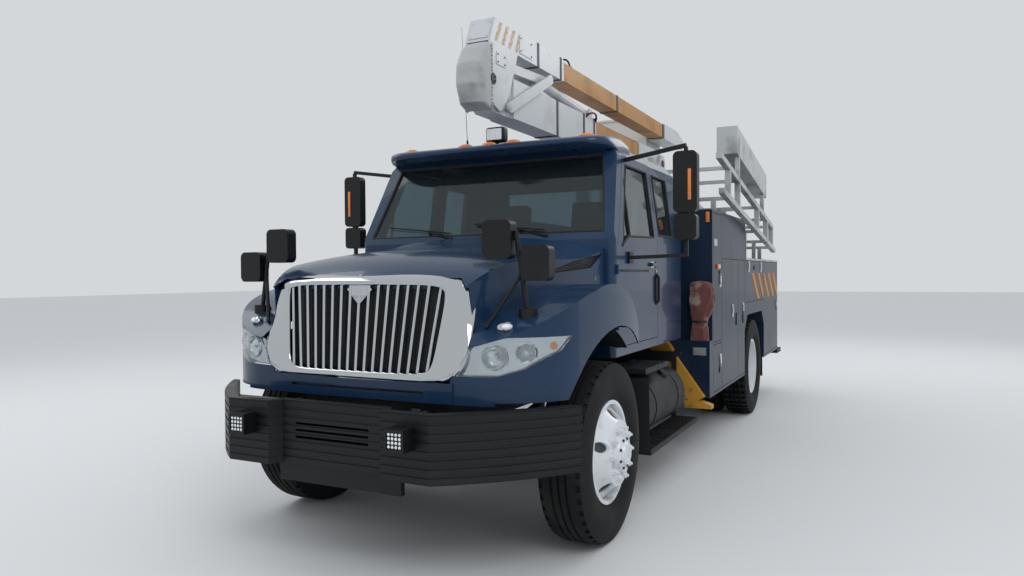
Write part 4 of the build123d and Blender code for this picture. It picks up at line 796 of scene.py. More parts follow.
# columns: y, height
DOOR_GLASS = [(0.625, 1.75), (0.76, 1.815), (1.365, 1.83), (1.36, 2.315), (0.89, 2.315)]
QUARTER_GLASS = [(1.51, 1.85), (1.88, 1.85), (1.88, 2.31), (1.51, 2.31)]
for side, name in SIDES:
    ring = bmesh.new()
    along(ring, [cab_side(y, z, side, -0.002) for y, z in DOOR_GLASS], 0.009)
    bar(ring, cab_side(0.80, 1.815, side, -0.006), cab_side(0.80, 2.215, side, -0.006), 0.009, 6)
    piece(f"door_seal_{name}", ring, f"cab_door_{name}", seal_rubber)
    ring = bmesh.new()
    along(ring, [cab_side(y, z, side, -0.002) for y, z in QUARTER_GLASS], 0.009)
    piece(f"quarter_seal_{name}", ring, "chassis", seal_rubber)
    catch = bmesh.new()
    rounded_block(catch, cab_side(1.25, 1.605, side, 0.0), cab_side(1.385, 1.650, side, 0.006), 0.002)
    bar(catch, cab_side(1.40, 1.58, side, -0.002), cab_side(1.40, 1.58, side, 0.006), 0.012, 18)
    piece(f"door_catch_{name}", catch, f"cab_door_{name}", chrome_plate)
    pull = bmesh.new()
    grip = [cab_side(1.405, 1.34, side, 0.004), cab_side(1.412, 1.36, side, 0.018), cab_side(1.412, 1.53, side, 0.018),
            cab_side(1.405, 1.55, side, 0.004)]
    along(pull, grip, 0.010, 10, closed=False)
    block(pull, cab_side(1.375, 1.325, side, 0.0005), cab_side(1.432, 1.565, side, 0.003))
    piece(f"door_pull_{name}", pull, f"cab_door_{name}", black_moulding)
    plate(f"door_moulding_{name}", f"cab_door_{name}", black_moulding,
          cab_side(0.53, 1.575, side, 0.0), cab_side(1.20, 1.590, side, 0.006), 0.002)

# %% [markdown]
# Each door mirror is a glass in a black shell. The glass is a thin silvered plate on the shell's rear face,
# and an amber lamp strip shows on the front.

# %% Mirror glasses
for side, name in SIDES:
    glass = bmesh.new()
    rounded_block(glass, place(side * 1.312, 0.868, 1.99), place(side * 1.428, 0.8725, 2.345), 0.001, 1)
    rounded_block(glass, place(side * 1.317, 0.878, 1.81), place(side * 1.423, 0.8825, 1.93), 0.001, 1)
    piece(f"mirror_glass_{name}", glass, f"cab_door_{name}", silver)
    plate(f"mirror_lamp_{name}", f"cab_door_{name}", amber_lens,
          place(side * 1.390, 0.7955, 2.045), place(side * 1.412, 0.8005, 2.250), 0.002)

# %% [markdown]
# The roof's front edge is a pressing with soft corners that hangs over the windscreen. It is made as a grid:
# its rows follow the edge's section, and its columns are swept back and rounded down towards the sides.

# %% Roof cap
# columns: y and height of the section in the middle of the cab, from its lower edge to its rear one
ROOF_SECTION = [(0.640, 2.414), (0.600, 2.424), (0.566, 2.434), (0.554, 2.452), (0.562, 2.475), (0.600, 2.492),
                (0.700, 2.508), (0.820, 2.521), (0.940, 2.524), (1.040, 2.511)]
CAP_HALF = 0.915
CAP_FOOT = 2.405
CAP_REAR, CAP_FRONT = 1.040, 0.554


def quarter_round(x, start, end):
    """0 up to start, then a quarter of a circle to 1 at end."""
    t = min(1.0, max(0.0, (abs(x) - start) / (end - start)))
    return 1 - math.sqrt(1 - t * t)


cap_bm = bmesh.new()
bmesh.ops.create_grid(cap_bm, x_segments=72, y_segments=36, size=0.5)
for vert in cap_bm.verts:
    across = math.sin(vert.co.x * math.pi)
    x = across * CAP_HALF
    row = (vert.co.y + 0.5) * (len(ROOF_SECTION) - 1)
    k = min(int(row), len(ROOF_SECTION) - 2)
    y, z = (a + (b - a) * (row - k) for a, b in zip(ROOF_SECTION[k], ROOF_SECTION[k + 1]))
    sweep = 0.25 * quarter_round(x, 0.72, CAP_HALF) * (CAP_REAR - y) / (CAP_REAR - CAP_FRONT)
    vert.co = place(x, y + sweep, z - (z - CAP_FOOT) * quarter_round(x, 0.84, CAP_HALF))
for _ in range(2):
    bmesh.ops.smooth_vert(cap_bm, verts=[v for v in cap_bm.verts if not v.is_boundary], factor=0.5,
                          use_axis_x=True, use_axis_y=True, use_axis_z=True)
bmesh.ops.solidify(cap_bm, geom=cap_bm.faces[:], thickness=0.002)
roof_cap = piece("roof_cap", cap_bm, "chassis", blue_enamel)
print("roof cap", len(roof_cap.data.polygons), "faces")

# %% [markdown]
# Five amber markers, low domes, sit on the roof cap. Between them a work lamp stands on a short post: a black
# box with strongly rounded edges, whose clear face has upright ribs.

# %% Roof lamps
ROOF_FRONT = (0.590, 2.478)
ROOF_SLOPE = (2.512 - 2.478) / 0.21
CAP_OVER_BROW = 0.008


def roof_z(y):
    """The roof cap's height at y."""
    return ROOF_FRONT[1] + ROOF_SLOPE * (y - ROOF_FRONT[0]) + CAP_OVER_BROW


markers = bmesh.new()
for x, y in ((0, 0.625), (0.196, 0.625), (-0.196, 0.625), (0.72, 0.705), (-0.72, 0.705)):
    dome(markers, place(x, y, roof_z(y) + 0.003), (0.058, 0.026, 0.020))
piece("roof_markers", markers, "chassis", amber_lens)

box_bm = bmesh.new()
lamp_at = place(0.02, 0.710, 2.575)
rounded_block(box_bm, lamp_at - Vector((0.075, 0.040, 0.055)), lamp_at + Vector((0.075, 0.045, 0.055)), 0.020, 3)
bar(box_bm, lamp_at - Vector((0, -0.01, 0.082)), lamp_at - Vector((0, -0.01, 0.050)), 0.014, 16)
piece("work_lamp", box_bm, "chassis", black_moulding)
ribs = bmesh.new()
block(ribs, lamp_at + Vector((-0.060, -0.0445, -0.040)), lamp_at + Vector((0.060, -0.0405, 0.040)))
for k in range(5):
    x = -0.048 + 0.024 * k
    bar(ribs, lamp_at + Vector((x, -0.046, -0.036)), lamp_at + Vector((x, -0.046, 0.036)), 0.004, 8)
piece("work_lamp_face", ribs, "chassis", lamp_glass)

# %% [markdown]
# Each bumper lamp is a black box whose open front shows four rows of small clear lenses. Four strips around
# a back plate make the opening's rim.

# %% Bumper lamps
housings = bmesh.new()
faces = bmesh.new()
BUMPER_LAMP_Y = -1.2745
BUMPER_LAMP_X = 0.507
# columns: x ends from the lamp's middle, y ends from its front, z ends
LAMP_BOX = [((-0.055, 0.055), (0.008, 0.085), (0.725, 0.835)), ((-0.055, 0.055), (0, 0.010), (0.820, 0.835)),
            ((-0.055, 0.055), (0, 0.010), (0.725, 0.740)), ((-0.055, -0.042), (0, 0.010), (0.740, 0.820)),
            ((0.042, 0.055), (0, 0.010), (0.740, 0.820)), ((-0.042, 0.042), (0.004, 0.009), (0.740, 0.820))]
for side in (1, -1):
    x = side * BUMPER_LAMP_X
    for xs, ys, zs in LAMP_BOX:
        block(housings, *(place(x + xs[end], BUMPER_LAMP_Y + ys[end], zs[end]) for end in (0, 1)))
    for row in range(4):
        for column in range(4):
            spot = place(x - 0.0315 + 0.021 * column, BUMPER_LAMP_Y + 0.004, 0.7505 + 0.020 * row)
            bar(faces, spot, spot - Vector((0, 0.003, 0)), 0.0078, 14, 0.005)
bumper_lamps = piece("bumper_lamps", housings, "chassis", black_moulding, smooth=False)
piece("bumper_lamp_faces", faces, "chassis", lamp_glass)
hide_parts("lamps")

# %% [markdown]
# A whip antenna stands beside the boom: a thin steel rod in a black foot, 0.9 m long.

# %% Whip antenna
whip = bmesh.new()
foot, tip = place(-0.275, 0.80, 2.512), place(-0.32, 0.80, 3.43)
bar(whip, foot, foot + (tip - foot) * 0.07, 0.012, 14, 0.006)
piece("antenna_foot", whip, "chassis", black_moulding)
rod = bmesh.new()
bar(rod, foot + (tip - foot) * 0.06, tip, 0.0022, 8, 0.0012)
piece("antenna_rod", rod, "chassis", dark_steel)

# %% [markdown]
# A locker's door is held by paddle latches: a chromed dish with a flap that the hand pulls. Each is a
# plate with its middle pushed in, and the flap lies in it.

# %% Locker latches
BODY_X = 1.2


def latch(bm, side, y, z, tall=0.12, wide=0.085):
    """A paddle latch on the body's side."""
    x = side * (BODY_X + 0.0005)
    dish = block(bm, place(x, y - wide / 2, z - tall / 2), place(x + side * 0.006, y + wide / 2, z + tall / 2))
    faces = {face for vert in dish for face in vert.link_faces}
    outer = [face for face in faces if abs(face.calc_center_median().x - x - side * 0.006) < 1e-5]
    bmesh.ops.inset_region(bm, faces=outer, thickness=0.012, depth=-0.004)
    block(bm, place(x + side * 0.003, y - wide * 0.3, z - tall * 0.22),
          place(x + side * 0.010, y + wide * 0.3, z + tall * 0.3))


# the door's body, and its latches as (y, z)
LATCHES = {
    "locker_left_front_upper": [(2.735, 1.50)], "locker_left_front_lower": [(2.735, 0.78)],
    "locker_left_middle_a": [(3.31, 1.20)], "locker_left_middle_b": [(3.865, 1.20)],
    "locker_left_wheel": [(4.20, 1.63), (5.0, 1.63)], "locker_left_rear": [(6.23, 1.15)],
    "locker_right_front": [(3.865, 1.20), (2.55, 1.20)], "locker_right_wheel": [(4.20, 1.63), (5.0, 1.63)],
    "locker_right_rear": [(6.23, 1.15)],
}
for body, spots in LATCHES.items():
    side = 1 if "_left_" in body else -1
    latches = bmesh.new()
    for y, z in spots:
        latch(latches, side, y, z)
    piece(f"latches_{body}", latches, body, chrome_plate, smooth=False)

# %% [markdown]
# Orange stripes of reflecting film slant across the wheel locker's door and the rear one. A stripe is a flat
# outline, cut to the door it lies on so that the door can open, and pushed out to the film's thickness.

# %% Stripes
FILM = 0.0012
STRIPE_TOP, STRIPE_FOOT = 1.56, 1.27
STRIPE_WIDE, STRIPE_PITCH, STRIPE_RUN = 0.13, 0.375, 0.38
STRIPES, FIRST_STRIPE_Y = 6, 4.40


def stripes(side, y_ends):
    """The slanted bands that fall on a door between these ends."""
    x = side * (BODY_X + 0.0006)
    film = bmesh.new()
    for k in range(STRIPES):
        y = FIRST_STRIPE_Y + k * STRIPE_PITCH
        ring = [(y, STRIPE_TOP), (y + STRIPE_WIDE, STRIPE_TOP), (y + STRIPE_WIDE + STRIPE_RUN, STRIPE_FOOT),
                (y + STRIPE_RUN, STRIPE_FOOT)]
        film.faces.new([film.verts.new(place(x, a, b)) for a, b in ring])
    for y, way in ((y_ends[0], -1), (y_ends[1], 1)):
        bmesh.ops.bisect_plane(film, geom=film.verts[:] + film.edges[:] + film.faces[:], plane_co=place(x, y, 0),
                               plane_no=(0, way, 0), clear_outer=True)
    pushed(film, bmesh.ops.extrude_face_region(film, geom=film.faces[:]), (side * FILM, 0, 0))
    return film


for side, name in SIDES:
    for door, ends in (("wheel", (3.992, 5.202)), ("rear", (5.257, 6.305))):
        piece(f"stripes_{door}_{name}", stripes(side, ends), f"locker_{name}_{door}", orange_film,
              smooth=False)

# %% [markdown]
# A bright aluminium strip runs along the edge of the shelf over the lockers, with a rivet every so often.
# The body's front corners have amber marker lamps, and its plates for words are left blank.

# %% Shelf strip, markers and blank plates
RIVETS = 16
for side, name in SIDES:
    strip = bmesh.new()
    rounded_block(strip, place(side * 1.2005, 4.02, 1.698), place(side * 1.204, 6.34, 1.718), 0.001, 1)
    for k in range(RIVETS):
        foot = place(side * 1.204, 4.09 + 0.148 * k, 1.708)
        bar(strip, foot, foot + Vector((side * 0.002, 0, 0)), 0.004, 10, 0.002)
    piece(f"shelf_strip_{name}", strip, "chassis", mill_aluminium)
    plate(f"front_marker_{name}", "chassis", amber_lens,
          place(side * 1.147, 2.410, 2.000), place(side * 1.177, 2.4195, 2.090), 0.003)
    home, foot_z = ("locker_left_front_upper", 1.60) if side > 0 else ("chassis", 1.72)
    plate(f"blank_plate_{name}", home, mill_aluminium,
          place(side * 1.2005, 2.49, 1.80), place(side * 1.2025, 2.62, 1.86), 0.0008, 1)
    plate(f"side_marker_{name}", home, amber_lens,
          place(side * 1.2005, 2.60, foot_z), place(side * 1.215, 2.70, foot_z + 0.04), 0.004)
plate("blank_plate_ledge", "chassis", mill_aluminium,
      place(1.060, 2.3055, 0.862), place(1.170, 2.3075, 0.928), 0.0008, 1)

# %% [markdown]
# At the tail each side has a set of lamps on the body's rear face: two red ones and a clear one. A lamp is a
# low dome in a rubber ring, and a row of red and white reflecting film runs below the set.

# %% Tail lamps
TAIL_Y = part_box("body_compartments")[1].y - AXLE_Y
for side, name in SIDES:
    rings_bm, reds, clears = bmesh.new(), bmesh.new(), bmesh.new()
    for z, lamp_bm in ((1.30, reds), (1.16, reds), (1.02, clears)):
        foot = place(side * 1.08, TAIL_Y, z)
        bar(rings_bm, foot - Vector((0, 0.002, 0)), foot + Vector((0, 0.012, 0)), 0.060, 36, 0.056)
        dome(lamp_bm, foot + Vector((0, 0.010, 0)), (0.050, 0.014, 0.050), around=32)
    piece(f"tail_lamp_rings_{name}", rings_bm, "chassis", seal_rubber)
    piece(f"tail_lamps_{name}", reds, "chassis", red_lens)
    piece(f"reverse_lamp_{name}", clears, "chassis", lamp_glass)
TAPES, TAPE_WIDE = 6, 0.035
red_tape, white_tape = bmesh.new(), bmesh.new()
for side in (1, -1):
    for k in range(TAPES):
        x = side * (0.965 + TAPE_WIDE * k)
        strip = red_tape if k % 2 else white_tape
        block(strip, place(x, TAIL_Y + 0.0003, 0.86), place(x + side * TAPE_WIDE, TAIL_Y + 0.0010, 0.90))
piece("tail_tape_red", red_tape, "chassis", red_lens, smooth=False)
piece("tail_tape_white", white_tape, "chassis", lamp_glass, smooth=False)
print("tail face at", round(TAIL_Y, 3))

# %% [markdown]
# The bucket is worked by levers on a small valve box inside its rim. Each lever ends in a black knob.

# %% Bucket controls
bucket_low, bucket_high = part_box("bucket")
knobs, valve = bmesh.new(), bmesh.new()
box_at = Vector((bucket_high.x - 0.075, bucket_low.y + 0.16, bucket_high.z - 0.16))
rounded_block(valve, box_at - Vector((0.030, 0.070, 0.050)), box_at + Vector((0.030, 0.070, 0.040)), 0.006)
for k in range(3):
    foot = box_at + Vector((-0.005, -0.042 + 0.042 * k, 0.040))
    bar(valve, foot - Vector((0, 0, 0.002)), foot + Vector((0, 0, 0.060)), 0.0045, 10)
    dome(knobs, foot + Vector((0, 0, 0.068)), (0.013, 0.013, 0.017), around=20, rows=12)
piece("bucket_valve_box", valve, "bucket_body", dark_steel)
piece("bucket_lever_knobs", knobs, "bucket_body", black_moulding)
print("bucket", [round(v, 3) for v in (*bucket_low, *bucket_high)])

# %% [markdown]
# The boom's pins are held by round caps, and each cap has a keeper plate with two bolts. The turntable is
# bolted down by a ring of bolts.

# %% Pin caps
TURRET_AT = place(0, 4.68, 1.815)


def cap(bm, side, x, y, z, radius):
    """A pin's cap with its keeper plate, on the outer face at x."""
    foot = place(side * x, y, z)
    out = Vector((side, 0, 0))
    bar(bm, foot - out * 0.001, foot + out * 0.006, radius * 1.35, 28)
    bar(bm, foot + out * 0.006, foot + out * 0.010, radius * 1.25, 28, radius * 1.1)
    for dz in (-0.5, 0.5):
        bolt = foot + Vector((0, radius * 0.55, radius * dz))
        bar(bm, bolt + out * 0.010, bolt + out * 0.016, radius * 0.2, 6)


# columns: body, outer face, y, z, radius
CAPS = [
    ("slewing_turret", 0.124, 4.72, 2.86, 0.035), ("slewing_turret", 0.124, 4.44, 1.95, 0.022),
    ("upper_boom", 0.1001, 0.51, 2.93, 0.030),
]
for k, (body, x, y, z, radius) in enumerate(CAPS):
    caps = bmesh.new()
    for side in (1, -1):
        cap(caps, side, x, y, z, radius)
    piece(f"pin_caps_{k}", caps, body, dark_steel)

TABLE_BOLTS, TABLE_CIRCLE = 20, 0.272
ring = bmesh.new()
for k in range(TABLE_BOLTS):
    arm = Matrix.Rotation(math.tau * k / TABLE_BOLTS, 3, "Z") @ Vector((TABLE_CIRCLE, 0, 0))
    foot = TURRET_AT + arm + Vector((0, 0, 0.045))
    bar(ring, foot, foot + Vector((0, 0, 0.003)), 0.014, 14)
    bar(ring, foot + Vector((0, 0, 0.003)), foot + Vector((0, 0, 0.016)), 0.012, 6, 0.011)
piece("turntable_bolts", ring, "slewing_turret", dark_steel)

# %% [markdown]
# Straps of steel clamp the hoses to the boom, and the glass-fibre lengths start in a collar. A band is a
# thin frame around the boom, made as four plates that stand out from it a little.

# %% Boom bands


def band(bm, y, wide, half, low, high, out):
    """A band around a boom of this half width and these heights, standing out by out."""
    block(bm, place(-half - out, y, high), place(half + out, y + wide, high + out))
    block(bm, place(-half - out, y, low - out), place(half + out, y + wide, low))
    for side in (1, -1):
        block(bm, place(side * half, y, low), place(side * (half + out), y + wide, high))


# columns: y, width, the boom's half width, its lowest and highest z, where it is bound
BANDS = {
    "lower_boom": [(y, 0.035, 0.1003, 2.7098, 3.0002) for y in (1.62, 2.22, 2.48)],
    "upper_boom": [(y, 0.030, 0.1003, 3.1898, 3.3702) for y in (1.25, 1.70)]
    + [(y, 0.045, 0.0882, 3.2018, 3.3582) for y in (3.17, 4.85)],
}
for boom, rows in BANDS.items():
    bands = bmesh.new()
    for row in rows:
        band(bands, *row, 0.004)
    piece(f"{boom}_bands", bands, boom, dark_steel, smooth=False)

# %% [markdown]
# Bolted covers close the elbow's sides and its sloping front. Each is a plate with a bolt near each corner.

# %% Elbow covers
CHEEK_X, COVER_THICK, BOLT_R, BOLT_IN = 0.1004, 0.004, 0.006, 0.018
# columns: y ends, z ends
CHEEK_COVERS = [((0.93, 1.15), (3.215, 3.345)), ((0.56, 0.70), (3.045, 3.135))]
covers = bmesh.new()
bolts = bmesh.new()
for side in (1, -1):
    face_x = side * (CHEEK_X + COVER_THICK)
    for ys, zs in CHEEK_COVERS:
        block(covers, place(side * CHEEK_X, ys[0], zs[0]), place(face_x, ys[1], zs[1]))
        for y in (ys[0] + BOLT_IN, ys[1] - BOLT_IN):
            for z in (zs[0] + BOLT_IN, zs[1] - BOLT_IN):
                bar(bolts, place(face_x, y, z), place(face_x + side * 0.005, y, z), BOLT_R, 6)
FRONT_SLOPE = math.atan2(0.078, 0.180)
front_cover = bmesh.new()
block(front_cover, Vector((-0.082, -COVER_THICK, -0.072)), Vector((0.082, 0, 0.072)))
for x in (-0.068, 0.068):
    for z in (-0.058, 0.058):
        bar(front_cover, Vector((x, -COVER_THICK, z)), Vector((x, -0.009, z)), BOLT_R, 6)
leaning = Matrix.Translation(place(0, 0.5095, 3.280)) @ Matrix.Rotation(-FRONT_SLOPE, 4, "X")
bmesh.ops.transform(front_cover, matrix=leaning, verts=front_cover.verts[:])
join(covers, front_cover)
piece("elbow_plates", covers, "upper_boom", boom_enamel, smooth=False)
piece("elbow_plate_bolts", bolts, "upper_boom", dark_steel)

# %% [markdown]
# Worn amber stripes slant across the elbow's side. They are paint, so each is a thin skin on the steel.

# %% Elbow stripes
worn_amber = finish("worn_amber_paint", "#C49A5C", 0.5)
blotches(worn_amber, "#C3C7CB", 25, 0.5, 0.56)
for side, name in SIDES:
    skin = bmesh.new()
    for k in range(4):
        y = 0.535 + 0.105 * k
        ring = [(y, 3.205), (y + 0.045, 3.205), (y + 0.125, 3.355), (y + 0.08, 3.355)]
        skin.faces.new([skin.verts.new(place(side * 0.1003, a, b)) for a, b in ring])
    pushed(skin, bmesh.ops.extrude_face_region(skin, geom=skin.faces[:]), (side * 0.0006, 0, 0))
    piece(f"elbow_stripes_{name}", skin, "upper_boom", worn_amber, smooth=False)

# %% [markdown]
# Hydraulic hoses run along the boom between its two lengths and loop round the joints. Each is a smooth
# curve with steel ferrules at its ends, and it is held at both ends, so it isn't a free cord.

# %% Hoses


def hose(name, body, points, radius, material):
    """A hose through the points, with a ferrule at each end."""
    curve = bpy.data.curves.new(name, "CURVE")
    curve.dimensions = "3D"
    curve.bevel_depth = radius
    curve.bevel_resolution = 3
    curve.resolution_u = 8
    curve.use_fill_caps = True
    spline = curve.splines.new("NURBS")
    spline.points.add(len(points) - 1)
    for spot, point in zip(spline.points, points):
        spot.co = (*point, 1)
    spline.order_u = 3
    spline.use_endpoint_u = True
    thing = bpy.data.objects.new(name, curve)
    bpy.context.scene.collection.objects.link(thing)
    curve.materials.append(material)
    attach(thing, body)
    ends = bmesh.new()
    for here, there in ((points[0], points[1]), (points[-1], points[-2])):
        way = (there - here).normalized()
        bar(ends, here - way * 0.002, here + way * 0.045, radius * 1.25, 12)
        bar(ends, here - way * 0.012, here + way * 0.006, radius * 1.6, 6)
    piece(f"{name}_ferrules", ends, body, dark_steel)


HOSE_R = 0.009
# columns: y, height
BOOM_HOSE = [(1.75, 3.012), (1.86, 3.03), (2.2, 3.016), (3.0, 3.012), (3.9, 3.016), (4.35, 3.03), (4.5, 3.012)]
for k, (x, rubber) in enumerate(((0.03, red_hose), (0.0, hose_rubber), (-0.03, red_hose))):
    hose(f"boom_hose_{k}", "lower_boom", [place(x, y, z) for y, z in BOOM_HOSE], HOSE_R, rubber)

# %% [markdown]
# On top of the upper boom a black hoop guides the hoses and keeps straps from catching. At the lower boom's
# joint two red hoses bow out and go back in, so that they can follow as the boom bends.

# %% Hoop and hose loops
hoop = bmesh.new()
HOOP_HALF, HOOP_TALL, HOOP_Y = 0.055, 0.075, 2.02
arch = [place(-HOOP_HALF * math.cos(math.pi * k / 10), HOOP_Y, 3.371 + HOOP_TALL * math.sin(math.pi * k / 10))
        for k in range(11)]
along(hoop, arch, 0.008, 12, closed=False)
for x in (-HOOP_HALF, HOOP_HALF):
    bar(hoop, place(x, HOOP_Y, 3.3702), place(x, HOOP_Y, 3.377), 0.018, 16)
piece("hose_hoop", hoop, "upper_boom", black_moulding)
HOSE_LOOP = [(0.095, 2.30, 2.99), (0.125, 2.34, 3.03), (0.14, 2.42, 3.035), (0.125, 2.50, 3.02), (0.095, 2.54, 2.985)]
for side, name in SIDES:
    route = [place(side * x, y, z) for x, y, z in HOSE_LOOP]
    hose(f"red_hose_{name}", "lower_boom", route, HOSE_R, red_hose)

# %% [markdown]
# The elbow's front is closed by a soft white cover, laced to the steel cheeks. It is one sheet that bulges
# forwards: a grid bent round the elbow, fuller in the middle, with slack folds that run across it.

# %% Elbow cover
# columns: share of the way down, foremost y, height
COVER_LINE = [(0.0, 0.455, 3.178), (0.12, 0.378, 3.125), (0.35, 0.300, 3.005), (0.6, 0.292, 2.860),
              (0.82, 0.350, 2.745), (1.0, 0.470, 2.708)]
COVER_BACK = 0.512
COVER_HALF, COVER_BULGE = 0.1025, 0.012
SQUARED = 0.55


def between(table, share):
    """A table's row at a share, eased between its neighbours."""
    for (a, *low), (b, *high) in zip(table, table[1:]):
        if share <= b:
            t = (share - a) / (b - a)
            t = t * t * (3 - 2 * t) * 0.35 + t * 0.65
            return [p + (q - p) * t for p, q in zip(low, high)]
    return list(table[-1][1:])


cover = bmesh.new()
bmesh.ops.create_grid(cover, x_segments=40, y_segments=56, size=0.5)
for vert in cover.verts:
    across = vert.co.x * math.pi
    down = 0.5 - vert.co.y
    y_front, z = between(COVER_LINE, down)
    wide = math.copysign(abs(math.sin(across)) ** SQUARED, across)
    deep = abs(math.cos(across)) ** SQUARED
    fold = 0.0022 * math.sin(down * 21 + 1.7 * math.sin(across * 1.3) + across) * deep * (0.3 + down)
    fold += 0.0012 * math.sin(down * 47 - 2.0 * across) * deep
    half = COVER_HALF + COVER_BULGE * math.sin(math.pi * down) * deep
    vert.co = place(half * wide, COVER_BACK + (y_front - COVER_BACK) * deep - fold * 0.8, z + 0.3 * fold * (1 - down))
bmesh.ops.smooth_vert(cover, verts=cover.verts[:], factor=0.3, use_axis_x=True, use_axis_y=True, use_axis_z=True)
cover_area = sum(face.calc_area() for face in cover.faces)
print("elbow cover's cloth", round(cover_area, 3), "m2")
bmesh.ops.solidify(cover, geom=cover.faces[:], thickness=0.0022)
elbow_soft = piece("elbow_soft_cover", cover, "upper_boom", white_vinyl)
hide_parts("elbow_cover")
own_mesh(elbow_soft)

# %% [markdown]
# The cover is laced to the cheeks through eyelets down both of its edges, with a short slanting stretch of
# cord at each. The lacing rides on the upper boom, as the sheet does.

# %% Elbow lacing
EYELETS = 19
lace = bmesh.new()
for side in (1, -1):
    for k in range(EYELETS):
        z = between(COVER_LINE, 0.06 + 0.88 * k / (EYELETS - 1))[1]
        spot = place(side * 0.1035, 0.487 + 0.006 * (k % 2), z)
        bar(lace, spot, spot + Vector((side * 0.0012, -0.016, 0.004 if k % 2 else -0.004)), 0.0022, 6)
        bar(lace, spot - Vector((side * 0.001, 0, 0)), spot + Vector((side * 0.001, 0, 0)), 0.0045, 12)
lacing = piece("elbow_lacing", lace, "upper_boom", hose_rubber)
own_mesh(lacing)

# %% [markdown]
# The controls beside the cab sleep under a red vinyl bag. It is tied in at its waist and stands up on the
# levers inside, so its top is full and its skirt falls in long folds.

# %% Control cover
CONTROL_AT = (1.105, 2.362)
LEDGE_Z = 0.9845
# the small creases fade out over this height at the waist and at the crown
WAIST_Z, CROWN_Z, FADE = 0.165, 0.515, 0.10
BAG_SQUARED = 0.7
# columns: height, half width, half depth, sideways shift
BAG = [(0.000, 0.084, 0.041, 0.0), (0.08, 0.080, 0.040, 0.0), (0.155, 0.070, 0.036, 0.0),
       (0.17, 0.070, 0.036, 0.002), (0.24, 0.098, 0.044, 0.012), (0.31, 0.114, 0.047, 0.020),
       (0.44, 0.111, 0.047, 0.020), (0.49, 0.090, 0.041, 0.010), (0.508, 0.05, 0.025, 0.0), (0.511, 0.001, 0.001, 0.0)]
bag = bmesh.new()
ROWS = 60
verts = [bag.verts.new((1, 0, k / ROWS * BAG[-1][0])) for k in range(ROWS + 1)]
edges = [bag.edges.new(pair) for pair in zip(verts, verts[1:])]
bmesh.ops.spin(bag, geom=verts + edges, cent=(0, 0, 0), axis=(0, 0, 1), angle=math.tau, steps=72, use_merge=True,
               use_duplicate=False)
for vert in bag.verts:
    turn = math.atan2(vert.co.y, vert.co.x)
    z = vert.co.z
    half_x, half_y, shift = between(BAG, z)
    full = min(1, abs(z - WAIST_Z) / FADE) * min(1, (CROWN_Z - z) / FADE)
    crease = 1 - 0.085 * abs(math.sin(3 * turn + 6 * z)) - 0.060 * abs(math.sin(5 * turn - 15 * z + 0.8))
    crease -= 0.045 * full * abs(math.sin(2 * turn + 21 * z + 1.3 * math.sin(3 * turn)))
    round_x = math.copysign(abs(math.cos(turn)) ** BAG_SQUARED, math.cos(turn))
    round_y = math.copysign(abs(math.sin(turn)) ** BAG_SQUARED, math.sin(turn))
    vert.co = place(CONTROL_AT[0] + shift + half_x * crease * round_x, CONTROL_AT[1] + half_y * crease * round_y,
                    LEDGE_Z + z)
bmesh.ops.remove_doubles(bag, verts=bag.verts[:], dist=0.0008)
bag_area = sum(face.calc_area() for face in bag.faces)
print("control bag's vinyl", round(bag_area, 3), "m2")
bmesh.ops.solidify(bag, geom=bag.faces[:], thickness=0.0016)
red_bag = piece("control_bag", bag, "chassis", red_vinyl)
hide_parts("control_cover")

# %% [markdown]
# A black strap ties the bag in at its waist. It is a circle that is extruded to the strap's width, stretched
# to the bag's section and given a thickness.

# %% Bag strap
strap = bmesh.new()
bmesh.ops.create_circle(strap, cap_ends=False, segments=48, radius=1.0)
pushed(strap, bmesh.ops.extrude_edge_only(strap, edges=strap.edges[:]), (0, 0, 0.02))
for vert in strap.verts:
    vert.co = place(CONTROL_AT[0] + 0.0725 * vert.co.x, CONTROL_AT[1] + 0.038 * vert.co.y, LEDGE_Z + 0.152 + vert.co.z)
bmesh.ops.solidify(strap, geom=strap.faces[:], thickness=-0.002)
waist = piece("control_bag_strap", strap, "chassis", hose_rubber)

# %% [markdown]
# Mud flaps hang behind the wheels: thin rubber sheets, a little bowed, each held by two bolts at its top.

# %% Mud flaps
# columns: name, inner x and width, y, top and height
FLAPS = [("front", (0.90, 0.24), 0.745, (0.86, 0.50)), ("rear", (0.78, 0.40), 5.235, (0.90, 0.56))]
for end, (inner, wide), y, (top, tall) in FLAPS:
    for side, name in SIDES:
        flap = bmesh.new()
        bmesh.ops.create_grid(flap, x_segments=8, y_segments=12, size=0.5)
        for vert in flap.verts:
            share = 0.5 - vert.co.y
            bow = 0.018 * share * share - 0.004 * math.cos(vert.co.x * math.pi)
            vert.co = place(side * (inner + wide * (vert.co.x + 0.5)), y + bow, top - tall * share)
        bmesh.ops.solidify(flap, geom=flap.faces[:], thickness=0.006)
        for x in (inner + 0.04, inner + wide - 0.04):
            foot = place(side * x, y - 0.008, top - 0.03)
            bar(flap, foot, foot + Vector((0, 0.02, 0)), 0.009, 8)
        piece(f"mud_flap_{end}_{name}", flap, "chassis", hose_rubber)

# %% [markdown]
# Boots must grip the steps, so their tops are gratings: rows of thin upright strips, tied by round bars that
# run across them.

# %% Step gratings
STRIP_PITCH, TIE_PITCH = 0.022, 0.08
